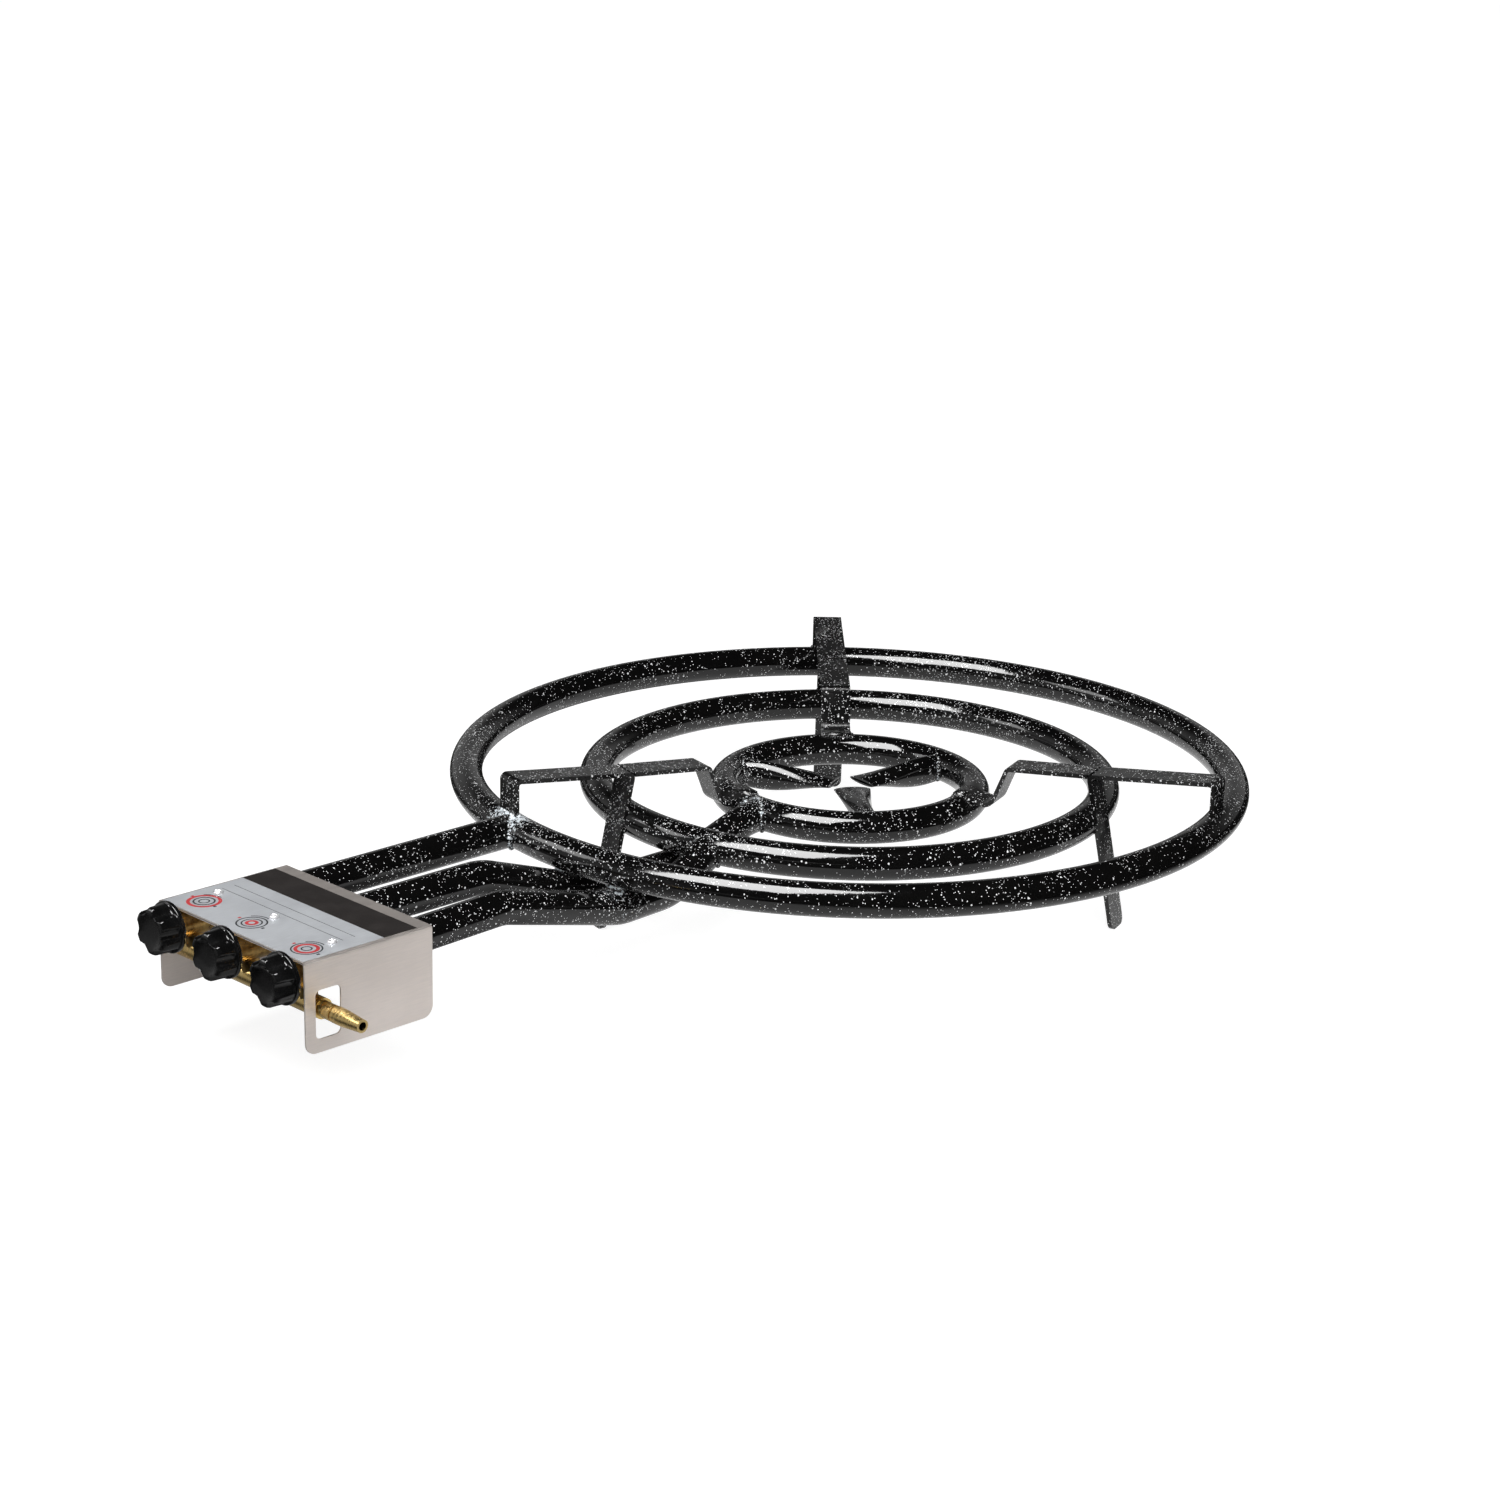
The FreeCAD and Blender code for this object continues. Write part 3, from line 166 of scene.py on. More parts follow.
def ramp(tree, value, low, high, to_low=0.0, to_high=1.0, smooth=True):
    """Turn a range of values into another, with soft ends."""
    made = add(tree, "ShaderNodeMapRange",
               {"Value": value, "From Min": low, "From Max": high,
                "To Min": to_low, "To Max": to_high},
               interpolation_type="SMOOTHSTEP" if smooth else "LINEAR")
    return made.outputs["Result"]


def noise(tree, where, scale, detail, roughness=0.5):
    """A noise texture's value at a place."""
    return add(tree, "ShaderNodeTexNoise", {"Vector": where, "Scale": scale, "Detail": detail,
                                            "Roughness": roughness}).outputs["Fac"]


def bumped(tree, strength, distance, height, below=None):
    """The normal of a Bump node, on top of another bump where one is given."""
    inputs = {"Strength": strength, "Distance": distance, "Height": height}
    if below is not None:
        inputs["Normal"] = below
    return add(tree, "ShaderNodeBump", inputs).outputs[0]


def blend_colours(tree, share, first, second):
    """Mix two colours by a share from 0 to 1."""
    made = add(tree, "ShaderNodeMix", data_type="RGBA")
    for number, value in ((0, share), (6, first), (7, second)):
        feed(tree, made.inputs[number], (*value, 1.0) if isinstance(value, tuple) else value)
    return made.outputs[2]


def new_group(name, tree_type, inputs, outputs):
    """A node group with named sockets, and its input and output nodes."""
    made = bpy.data.node_groups.new(name, tree_type)
    for in_out, sockets in (("INPUT", inputs), ("OUTPUT", outputs)):
        for label, kind in sockets.items():
            made.interface.new_socket(name=label, in_out=in_out, socket_type="NodeSocket" + kind)
    return made, made.nodes.new("NodeGroupInput"), made.nodes.new("NodeGroupOutput")

# %% [markdown]
# ## The studio
# The burner stood on a white table in a dark room. A large soft box hung high on the camera's
# left, and a pale backdrop closed the far left side. Black enamel shows all of that as
# reflections: long white streaks from the soft box, a grey lower edge from the table, and
# near black between them.
#
# To the camera the table and the backdrop are white through Light Path: a glow just short of
# white plus a faint matt share, which only the burner's own shadow takes away. Mirror-like rays
# see the same table, bright under the rings, in shade below the box and its pipes, and dark
# far away. The soft boxes are plain glowing planes that the camera doesn't see.

# %% Floor, backdrop light and soft boxes
WHITE = (1.0, 1.0, 1.0, 1.0)
CORNERS = ((-1, -1), (1, -1), (1, 1), (-1, 1))
FLOOR_HALF = 14.0
FLOOR_Z = -0.0003
LIGHT_TARGET = Vector((0.05, 0.0, 0.08))
HIGH_BOX = (-176, 61, 2.4, 38, 42)
TABLE_BRIGHT, TABLE_DARK = 0.82, 0.012


def new_material(name):
    """An empty material, its tree, and the place on the object as a socket."""
    made = bpy.data.materials.new(name)
    made.use_nodes = True
    tree = made.node_tree
    tree.nodes.clear()
    return made, tree, add(tree, "ShaderNodeTexCoord").outputs["Object"]


def show(tree, shader):
    """Send a shader to the material's surface."""
    add(tree, "ShaderNodeOutputMaterial", {"Surface": shader.outputs[0]})


def stage_plane(name, corners):
    """A rectangle that belongs to the studio and not to the burner."""
    mesh = bpy.data.meshes.new(name)
    mesh.from_pydata(corners, [], [(0, 1, 2, 3)])
    made = new_object(name, mesh)
    return made


def soft_box(name, azimuth, elevation, distance, wide_deg, tall_deg, strength, seen_by):
    """A glowing rectangle in a direction from the burner, sized by the angles it covers."""
    a, e = math.radians(azimuth), math.radians(elevation)
    centre = LIGHT_TARGET + distance * Vector((math.cos(a) * math.cos(e),
                                               math.sin(a) * math.cos(e), math.sin(e)))
    half_wide = distance * math.tan(math.radians(wide_deg / 2))
    half_tall = distance * math.tan(math.radians(tall_deg / 2))
    inward = (LIGHT_TARGET - centre).normalized()
    side = inward.cross(UP).normalized()
    top = side.cross(inward).normalized()
    box = stage_plane(name, [centre + side * (x * half_wide) + top * (y * half_tall)
                             for x, y in CORNERS])
    glow, tree, _ = new_material(name + "_glow")
    show(tree, add(tree, "ShaderNodeEmission", {"Color": WHITE, "Strength": strength}))
    box.data.materials.append(glow)
    box.visible_camera = False
    box.visible_shadow = False
    box.visible_diffuse = seen_by == "matt"
    box.visible_glossy = seen_by == "gloss"
    box.visible_transmission = False


floor = stage_plane("studio_floor", [(x * FLOOR_HALF, y * FLOOR_HALF, FLOOR_Z)
                                     for x, y in CORNERS])
white_table, tree, where = new_material("white_table")
# What mirror-like rays see: bright under the rings, shaded below the box, pale on the far left
spread = vector_math(tree, "MULTIPLY", where, (0.70, 1.0, 0.0))
under_rings = vector_math(tree, "DISTANCE", spread, (0.045, -0.01, 0.0))
under_pipes = vector_math(tree, "DISTANCE", spread, (-0.20, 0.01, 0.0))
leftward = vector_math(tree, "DOT_PRODUCT", where, (-0.64, 0.77, 0.0))
near = math_node(tree, "MULTIPLY", ramp(tree, under_rings, 0.30, 0.41, TABLE_BRIGHT, TABLE_DARK),
                 ramp(tree, under_pipes, 0.06, 0.17, 0.25, 1.0))
table_gloss = math_node(tree, "MAXIMUM", near, ramp(tree, leftward, 0.30, 0.8, 0.0, 0.30))
reflected = add(tree, "ShaderNodeEmission", {"Color": WHITE, "Strength": table_gloss})
# What the camera sees: near white close by, and white further off
apart = vector_math(tree, "LENGTH", where)
white = add(tree, "ShaderNodeEmission",
            {"Color": WHITE, "Strength": ramp(tree, apart, 0.6, 1.2, 0.88, 1.0)})
faint = add(tree, "ShaderNodeBsdfDiffuse", {"Color": (0.34, 0.34, 0.34, 1.0)})
seen = add(tree, "ShaderNodeAddShader", {0: white.outputs[0], 1: faint.outputs[0]})
# What all other light sees: a plain matt table
matt = add(tree, "ShaderNodeBsdfDiffuse", {"Color": (0.60, 0.60, 0.60, 1.0)})
paths = add(tree, "ShaderNodeLightPath").outputs
mirror_ray = math_node(tree, "MAXIMUM", paths["Is Glossy Ray"], paths["Is Transmission Ray"])
camera_mix = add(tree, "ShaderNodeMixShader",
                 {0: paths["Is Camera Ray"], 1: matt.outputs[0], 2: seen.outputs[0]})
show(tree, add(tree, "ShaderNodeMixShader",
               {0: mirror_ray, 1: camera_mix.outputs[0], 2: reflected.outputs[0]}))
floor.data.materials.append(white_table)

world = bpy.data.worlds.new("studio_air")
world.use_nodes = True
bpy.context.scene.world = world
tree = world.node_tree
tree.nodes.clear()
direction = add(tree, "ShaderNodeTexCoord").outputs["Generated"]
height = add(tree, "ShaderNodeSeparateXYZ", {0: direction}).outputs["Z"]


def backdrop_patch(azimuth, narrow, wide, fade_low, fade_high, strength):
    """A pale patch of backdrop around an azimuth, fading out upwards."""
    facing = vector_math(tree, "DOT_PRODUCT", direction, level(azimuth))
    return math_node(tree, "MULTIPLY", ramp(tree, facing, narrow, wide),
                     ramp(tree, height, fade_low, fade_high, strength, 0.0))


left_wall = backdrop_patch(130, 0.5, 0.9, 0.35, 0.65, 0.36)
far_wall = backdrop_patch(45, 0.4, 0.95, 0.25, 0.5, 0.30)
room = math_node(tree, "ADD", math_node(tree, "MAXIMUM", left_wall, far_wall), 0.008)
dark_room = add(tree, "ShaderNodeBackground", {"Color": WHITE, "Strength": room})
white_room = add(tree, "ShaderNodeBackground", {"Color": WHITE, "Strength": 1.0})
seen_by_camera = add(tree, "ShaderNodeLightPath").outputs["Is Camera Ray"]
world_mix = add(tree, "ShaderNodeMixShader",
                {0: seen_by_camera, 1: dark_room.outputs[0], 2: white_room.outputs[0]})
add(tree, "ShaderNodeOutputWorld", {"Surface": world_mix.outputs[0]})

soft_box("high_box_gloss", *HIGH_BOX, 18.0, "gloss")
soft_box("high_box_matt", *HIGH_BOX, 4.4, "matt")
soft_box("side_strip_gloss", 132, 31, 2.4, 24, 16, 4.5, "gloss")
soft_box("front_fill_matt", -110, 30, 2.6, 60, 44, 2.6, "matt")

# %% [markdown]
# ## White flecks in black enamel
# Speckled enamel is fired with grains of white frit in the black, so its flecks are round or
# slightly broken spots of many sizes, thick in some places and thin in others. Around welds
# the enamel pulls back and the grains crowd into a pale frost.
#
# Two layers of Voronoi cells make the flecks: each cell has at most one spot, its random
# colour decides whether the spot is there and how large it is. A slow noise makes thick and
# thin places. The pattern is a node group, because rings, pipes and straps all use it, each
# with its own amounts.

# %% Node group: enamel flecks
# A layer is (cells per metre, smallest and largest spot radius as a share of a cell)
LARGE_FLECKS = (430.0, 0.14, 0.35)
SMALL_FLECKS = (900.0, 0.22, 0.40)
RAGGED_BY = 0.0004
THIN, THICK = 0.40, 1.35
flecks, group_in, group_out = new_group(
    "enamel_flecks", "ShaderNodeTree", {"Position": "Vector", "Fill": "Float", "Frost": "Float"},
    {"Fleck Mask": "Float", "Frost Mask": "Float"})


def fleck_layer(tree, spot_place, cells, smallest, largest, share):
    """Round spots, at most one in each Voronoi cell, given back as a mask."""
    cell = add(tree, "ShaderNodeTexVoronoi",
               {"Vector": spot_place, "Scale": cells, "Randomness": 1.0},
               voronoi_dimensions="3D", feature="F1")
    dice = add(tree, "ShaderNodeSeparateColor", {0: cell.outputs["Color"]})
    radius = ramp(tree, dice.outputs["Green"], 0.0, 1.0, smallest, largest, smooth=False)
    edge = math_node(tree, "SUBTRACT", radius, cell.outputs["Distance"])
    spot = ramp(tree, edge, -0.03, 0.05)
    there = math_node(tree, "LESS_THAN", dice.outputs["Red"], share)
    return math_node(tree, "MULTIPLY", spot, there)


where, fill, frost = (group_in.outputs[name] for name in ("Position", "Fill", "Frost"))
ragged = add(flecks, "ShaderNodeTexNoise", {"Vector": where, "Scale": 1300.0, "Detail": 1.0})
nudge = vector_math(flecks, "SUBTRACT", ragged.outputs["Color"], (0.5, 0.5, 0.5))
nudge = add(flecks, "ShaderNodeVectorMath", {0: nudge, "Scale": RAGGED_BY},
            operation="SCALE").outputs[0]
spot_place = vector_math(flecks, "ADD", where, nudge)
patchy = ramp(flecks, noise(flecks, where, 34.0, 2.0), 0.36, 0.66, THIN, THICK)
share = math_node(flecks, "ADD", math_node(flecks, "MULTIPLY", fill, patchy),
                  math_node(flecks, "MULTIPLY", frost, 0.45), clamp=True)
share = math_node(flecks, "MULTIPLY", share, 0.8)
large = fleck_layer(flecks, spot_place, *LARGE_FLECKS, share)
small = fleck_layer(flecks, spot_place, *SMALL_FLECKS, share)
crowd = noise(flecks, where, 420.0, 4.0, 0.65)
threshold = ramp(flecks, frost, 0.0, 1.0, 0.80, 0.43, smooth=False)
frosted = ramp(flecks, math_node(flecks, "SUBTRACT", crowd, threshold), 0.0, 0.10)
feed(flecks, group_out.inputs["Fleck Mask"], math_node(flecks, "MAXIMUM", large, small))
feed(flecks, group_out.inputs["Frost Mask"], frosted)
print("group:", flecks.name, "nodes:", len(flecks.nodes))

# %% [markdown]
# ## Fine scratches and smudges
# Sheet metal and foil are never one grey. A second group gives two things: a stretched noise
# that reads as brushing along one direction, and a slow cloud that reads as handling marks.
# The stretch is set by how the position is scaled before the noise.

# %% Node group: metal grain
grain, group_in, group_out = new_group(
    "metal_grain", "ShaderNodeTree",
    {"Position": "Vector", "Stretch": "Vector", "Cloud Scale": "Float"},
    {"Grain": "Float", "Cloud": "Float"})
where, stretch, scale = (group_in.outputs[name] for name in ("Position", "Stretch", "Cloud Scale"))
pulled = vector_math(grain, "MULTIPLY", where, stretch)
feed(grain, group_out.inputs["Grain"], noise(grain, pulled, 1.0, 3.0, 0.6))
feed(grain, group_out.inputs["Cloud"], noise(grain, where, scale, 4.0))
print("group:", grain.name, "nodes:", len(grain.nodes))

# %% [markdown]
# ## Enamel finishes
# One function makes every enamel. It takes how full of flecks it is, how rough its skin is,
# and the places where frost gathers, each with a radius and a strength. The frost of several
# places is joined with Maximum. Two Bump nodes in a row give the skin: a slow wave that bends
# long highlights, and a fine orange peel.

# %% Enamel materials
ENAMEL_DEEP = (0.0018, 0.0018, 0.0020)
ENAMEL_PALE = (0.0050, 0.0048, 0.0046)
FLECK_WHITE = (0.95, 0.96, 0.97)
FROST_WHITE = (0.76, 0.82, 0.86)


def enamel(name, fill, rough, peel, frost_places):
    """Black enamel; each frost place is (centre, radius, strength)."""
    made, tree, where = new_material(name)
    frost = 0.0
    for centre, radius, strength in frost_places:
        gap = vector_math(tree, "DISTANCE", where, tuple(centre))
        frost = math_node(tree, "MAXIMUM", frost,
                          ramp(tree, gap, radius * 0.25, radius, strength, 0.0))
    pattern = add(tree, "ShaderNodeGroup", {"Position": where, "Fill": fill, "Frost": frost},
                  node_tree=flecks)
    frosted = pattern.outputs["Frost Mask"]
    tone = noise(tree, where, 45.0, 3.0)
    ground = blend_colours(tree, tone, ENAMEL_DEEP, ENAMEL_PALE)
    spotted = blend_colours(tree, pattern.outputs["Fleck Mask"], ground, FLECK_WHITE)
    wave = bumped(tree, 0.25, 0.0006, noise(tree, where, 70.0, 1.0))
    gloss = math_node(tree, "ADD", ramp(tree, tone, 0.3, 0.7, rough * 0.7, rough * 1.3),
                      math_node(tree, "MULTIPLY", frosted, 0.25))
    show(tree, add(tree, "ShaderNodeBsdfPrincipled", {
        "Base Color": blend_colours(tree, frosted, spotted, FROST_WHITE), "Roughness": gloss,
        "Normal": bumped(tree, peel, 0.0003, noise(tree, where, 520.0, 2.0), wave),
        "IOR": 1.5}))
    return made


OUTER_JOINT = Vector((-0.137, 0.060, 0.090))
MIDDLE_JOINT = on_ring("middle", MIDDLE_TURN, 10)
INNER_JOINT = on_ring("inner", 180.0, 20)
TIE_PLACES = (Vector((-0.143, 0.0, 0.072)), Vector((-0.137, -0.055, 0.072)))
SPUR_ROOTS = [on_ring("inner", turn, 180) for turn in SPUR_TURNS]
ring_enamel = {
    "outer_ring": enamel("enamel_outer_ring", 0.17, 0.085, 0.10, (
        (OUTER_JOINT, 0.042, 1.0), (OUTER_JOINT, 0.11, 0.45), (TIE_PLACES[1], 0.10, 0.42),
        (on_ring("outer", 20, 60), 0.13, 0.42), (on_ring("outer", 134, 50), 0.14, 0.30),
        (on_ring("outer", -8, 70), 0.10, 0.35), (on_ring("outer", -46, 50), 0.12, 0.34))),
    "middle_ring": enamel("enamel_middle_ring", 0.19, 0.085, 0.10, (
        (MIDDLE_JOINT, 0.020, 0.6), (MIDDLE_JOINT, 0.075, 0.35),
        (on_ring("middle", 15, 60), 0.10, 0.42), (on_ring("middle", -168, 40), 0.04, 0.45),
        (on_ring("middle", 134, 50), 0.09, 0.22), (on_ring("middle", -46, 50), 0.06, 0.25))),
    "inner_ring": enamel("enamel_inner_ring", 0.22, 0.085, 0.10, (
        (INNER_JOINT, 0.022, 0.95), (INNER_JOINT, 0.055, 0.5),
        (on_ring("inner", 110, 40), 0.03, 0.35), (on_ring("inner", 150, 50), 0.05, 0.26),
        (on_ring("inner", -30, 50), 0.03, 0.35))),
}
pipe_enamel = enamel("enamel_pipes", 0.20, 0.085, 0.10, (
    (OUTER_JOINT, 0.026, 0.9), (TIE_PLACES[1], 0.045, 0.55), (MIDDLE_JOINT, 0.03, 0.4),
    (INNER_JOINT, 0.025, 0.6)))
spur_enamel = enamel("enamel_spurs", 0.20, 0.10, 0.16, [
    (root, 0.02, strength) for root, strength in zip(SPUR_ROOTS, (0.5, 0.5, 0.4))])
strap_enamel = enamel("enamel_straps", 0.36, 0.24, 0.30, (
    (OUTER_JOINT, 0.015, 0.8), (on_ring("middle", 167.5, 0), 0.03, 0.35)))
print("enamels:", [m.name for m in bpy.data.materials if m.name.startswith("enamel")])

# %% [markdown]
# ## Metals, foil and moulding
# The cover is satin stainless steel, the taps and the hose tail are turned brass, and the
# screws are bright plated. They share one function: a metal with a grain direction, a cloud
# that shifts its tone, and a little bump from the grain. The steel of the cover's top is
# painted darker above a given height, as painted shade. The label's two parts are printed
# foil, and the knobs are polished black phenolic.

# %% Metal materials
def metal(name, light, dark, stretch, rough, bump=0.12, cloud=30.0, metallic=1.0, painted_top_shade=None):
    """A grained metal; the last argument is a height and the painted shade colour above it."""
    made, tree, where = new_material(name)
    pattern = add(tree, "ShaderNodeGroup",
                  {"Position": where, "Stretch": stretch, "Cloud Scale": cloud}, node_tree=grain)
    brushed = pattern.outputs["Grain"]
    tone = math_node(tree, "ADD", math_node(tree, "MULTIPLY", brushed, 0.55),
                     math_node(tree, "MULTIPLY", pattern.outputs["Cloud"], 0.45))
    colour = blend_colours(tree, ramp(tree, tone, 0.36, 0.64), dark, light)
    # Painted shade: above the given height the metal takes a darker colour
    if painted_top_shade:
        above, painted_shade_colour = painted_top_shade
        high = add(tree, "ShaderNodeSeparateXYZ", {0: where}).outputs["Z"]
        colour = blend_colours(tree, ramp(tree, high, above - 0.0008, above), colour,
                               painted_shade_colour)
    show(tree, add(tree, "ShaderNodeBsdfPrincipled", {
        "Base Color": colour, "Metallic": metallic,
        "Roughness": ramp(tree, brushed, 0.3, 0.7, rough * 0.8, rough * 1.2),
        "Normal": bumped(tree, bump, 0.0001, brushed)}))
    return made


# The cover's top is painted darker above its height, as painted shade
cover_steel = metal("satin_steel", (0.88, 0.805, 0.755), (0.80, 0.73, 0.685),
                    (90.0, 1500.0, 1500.0), 0.46, bump=0.05, metallic=0.66,
                    painted_top_shade=(0.0998, (0.34, 0.31, 0.29)))
label_foil = metal("printed_foil", (0.52, 0.54, 0.565), (0.44, 0.455, 0.48),
                   (110.0, 1600.0, 1600.0), 0.46, bump=0.05, metallic=0.22)
turned_brass = metal("turned_brass", (0.90, 0.68, 0.30), (0.80, 0.56, 0.21),
                     (120.0, 500.0, 120.0), 0.27, bump=0.02, cloud=60.0)
cast_brass = metal("cast_brass", (0.66, 0.44, 0.16), (0.30, 0.18, 0.06),
                   (300.0, 300.0, 300.0), 0.34, bump=0.30, cloud=70.0)
bright_plate = metal("bright_plate", (0.92, 0.92, 0.93), (0.84, 0.84, 0.86),
                     (600.0, 600.0, 600.0), 0.28, bump=0.05, metallic=0.55)
spring_wire = metal("spring_wire", (0.62, 0.62, 0.63), (0.45, 0.45, 0.46),
                    (500.0, 500.0, 500.0), 0.3)

# %% Printed band and knob moulding
def coated(name, light, dark, rough, scale, bump, shine=0.5):
    """A plain coated or moulded surface with a soft mottle and a fine texture."""
    made, tree, where = new_material(name)
    cloud = noise(tree, where, scale, 4.0)
    show(tree, add(tree, "ShaderNodeBsdfPrincipled", {
        "Base Color": blend_colours(tree, ramp(tree, cloud, 0.35, 0.65), dark, light),
        "Roughness": ramp(tree, cloud, 0.3, 0.7, rough * 0.8, rough * 1.25),
        "Normal": bumped(tree, bump, 0.0001, noise(tree, where, scale * 22, 2.0)),
        "Specular IOR Level": shine}))
    return made


dark_band = coated("dark_band_print", (0.018, 0.0145, 0.0135), (0.015, 0.012, 0.011), 0.50, 60,
                   0.1, shine=0.15)
knob_black = coated("knob_moulding", (0.0060, 0.0060, 0.0062), (0.0035, 0.0035, 0.0036), 0.15,
                    80, 0.03)
print("materials:", len(bpy.data.materials))

# %% [markdown]
# ## Give the CAD nodes their finishes
# A CAD node keeps its mesh and place, and takes a finish through its material slot. The table
# below names each node once.

# %% Assign finishes to the frame
finish_of = {
    **ring_enamel, "pipe_ties": pipe_enamel, "control_cover": cover_steel,
    "control_label": label_foil, "label_band": dark_band, "cover_screws": bright_plate,
    "bonnet_screws": bright_plate, "gas_rail": turned_brass, "rail_end_plug": turned_brass,
    "hose_tail": turned_brass,
}
for ring in RINGS:
    finish_of[f"{ring}_feed_pipe"] = pipe_enamel
for number in (1, 2, 3):
    finish_of[f"centre_spur_{number}"] = spur_enamel
    finish_of[f"support_leg_{number}"] = strap_enamel
    finish_of[f"support_bar_{number}"] = strap_enamel
    finish_of[f"knob_{number}"] = knob_black
    finish_of[f"tap_spring_{number}"] = spring_wire
    finish_of[f"tap_body_{number}"] = cast_brass
    for name in ("tap_bonnet", "tap_plug", "tap_spindle", "injector", "mixer_cap"):
        finish_of[f"{name}_{number}"] = turned_brass
missing = sorted(set(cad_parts) - set(finish_of))
for name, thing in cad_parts.items():
    if not thing.data.materials:
        thing.data.materials.append(None)
    for material_slot in thing.material_slots:
        material_slot.material = finish_of[name]
print("finished nodes:", len(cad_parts), "without a finish:", missing)

# %% [markdown]
# ## From paths to weld beads
# A weld is a row of small overlapping drops along a seam. We describe each seam only once, as
# a line of points, and let Geometry Nodes lay the drops: the line becomes a curve, the curve is
# cut into equal steps, and at each step a small flattened ball is placed, turned along the
# seam and scaled by chance with a fixed seed.
#
# The first helpers place a piece and list the angles around a circle. The next turn lists of
# points into one mesh of edges, with the drop's radius kept as an attribute on each point, and
# run a Geometry Nodes tree on a mesh and give back a plain mesh, so that nothing live stays in
# the scene. One ends such a tree, and the last two make closed skins, from any faces or from
# rows of points.

# %% Path meshes and a runner for geometry trees
def place_piece(name, mesh, body, finish=None):
    """Add a finished mesh to the scene and tie it to the body that it moves with."""
    made = new_object(name, mesh)
    if finish:
        mesh.materials.clear()
        mesh.materials.append(finish)
    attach(made, body)
    return made


def turns(count):
    """Evenly spaced angles around a circle."""
    return [2 * math.pi * index / count for index in range(count)]


def path_mesh(name, paths):
    """Edges along paths; each path is (points, closed, radius), and radius becomes an attribute."""
    points, edges, radii = [], [], []
    for line, closed, radius in paths:
        first = len(points)
        points += line
        radii += [radius] * len(line)
        edges += [(first + i, first + i + 1) for i in range(len(line) - 1)]
        if closed:
            edges.append((first + len(line) - 1, first))
    mesh = bpy.data.meshes.new(name)
    mesh.from_pydata(points, edges, [])
    attribute = mesh.attributes.new("bead_radius", "FLOAT", "POINT")
    attribute.data.foreach_set("value", radii)
    return mesh


def run_tree(name, mesh, tree, inputs):
    """Run a geometry tree on a mesh and give back the result as a plain mesh."""
    carrier = new_object(name + "_carrier", mesh)
    modifier = carrier.modifiers.new("tree", "NODES")
    modifier.node_group = tree
    for item in tree.interface.items_tree:
        if item.item_type == "SOCKET" and item.in_out == "INPUT" and item.name in inputs:
            modifier[item.identifier] = inputs[item.name]
    bpy.context.view_layer.update()
    graph = bpy.context.evaluated_depsgraph_get()
    plain = bpy.data.meshes.new_from_object(carrier.evaluated_get(graph))
    plain.name = name
    carrier.modifiers.remove(modifier)
    bpy.data.objects.remove(carrier)
    return plain


def end_tree(tree, instances, tree_in, tree_out):
    """Make instances real, give them the tree's finish and send them out."""
    real = add(tree, "GeometryNodeRealizeInstances", {"Geometry": instances.outputs[0]})
    painted = add(tree, "GeometryNodeSetMaterial",
                  {"Geometry": real.outputs[0], "Material": tree_in.outputs["Finish"]})
    feed(tree, tree_out.inputs["Geometry"], painted.outputs[0])


def closed_mesh(name, points, faces, smooth=True, bevel=0.0):
    """A mesh of closed skins, with its faces turned outwards and its edges rounded if asked."""
    mesh = bpy.data.meshes.new(name)
    mesh.from_pydata(points, [], faces)
    work = bmesh.new()
    work.from_mesh(mesh)
    if bevel:
        bmesh.ops.bevel(work, geom=work.edges[:], offset=bevel, segments=2, affect="EDGES")
    bmesh.ops.recalc_face_normals(work, faces=work.faces[:])
    work.to_mesh(mesh)
    work.free()
    for face in mesh.polygons:
        face.use_smooth = smooth
    return mesh


def mesh_of_rows(name, first, rows, last):
    """One closed skin: closed rows of points, with a fan to a point at each end."""
    around = len(rows[0])
    points = [point for row in rows for point in row] + [first, last]
    last_row = (len(rows) - 1) * around
    faces = []
    for index in range(around):
        after = (index + 1) % around
        faces.append((len(points) - 2, after, index))
        faces.append((len(points) - 1, last_row + index, last_row + after))
        for low in range(0, last_row, around):
            faces.append((low + index, low + after, low + around + after, low + around + index))
    return closed_mesh(name, points, faces)

# %% Geometry tree: drops along a seam
DROP_SMALLEST, DROP_LARGEST = 0.72, 1.22
DROP_FLAT = 0.72
weld_tree, tree_in, tree_out = new_group(
    "weld_drops", "GeometryNodeTree",
    {"Geometry": "Geometry", "Step": "Float", "Seed": "Int", "Finish": "Material"},
    {"Geometry": "Geometry"})
curve = add(weld_tree, "GeometryNodeMeshToCurve", {"Mesh": tree_in.outputs["Geometry"]})
steps = add(weld_tree, "GeometryNodeResampleCurve",
            {"Curve": curve.outputs[0], "Length": tree_in.outputs["Step"]}, mode="LENGTH")
radius = add(weld_tree, "GeometryNodeInputNamedAttribute", {"Name": "bead_radius"},
             data_type="FLOAT")
chance = add(weld_tree, "FunctionNodeRandomValue",
             {2: DROP_SMALLEST, 3: DROP_LARGEST, "Seed": tree_in.outputs["Seed"]},
             data_type="FLOAT")
size = math_node(weld_tree, "MULTIPLY", radius.outputs["Attribute"], chance.outputs[1])
along = weld_tree.nodes.new("GeometryNodeInputTangent")
turn = add(weld_tree, "FunctionNodeAlignRotationToVector", {"Vector": along.outputs[0]}, axis="Z")
squeeze = add(weld_tree, "ShaderNodeCombineXYZ",
              {"X": size, "Y": size, "Z": math_node(weld_tree, "MULTIPLY", size, DROP_FLAT)})
drop = add(weld_tree, "GeometryNodeMeshUVSphere", {"Segments": 10, "Rings": 6, "Radius": 1.0})
smooth = add(weld_tree, "GeometryNodeSetShadeSmooth", {"Geometry": drop.outputs["Mesh"]})
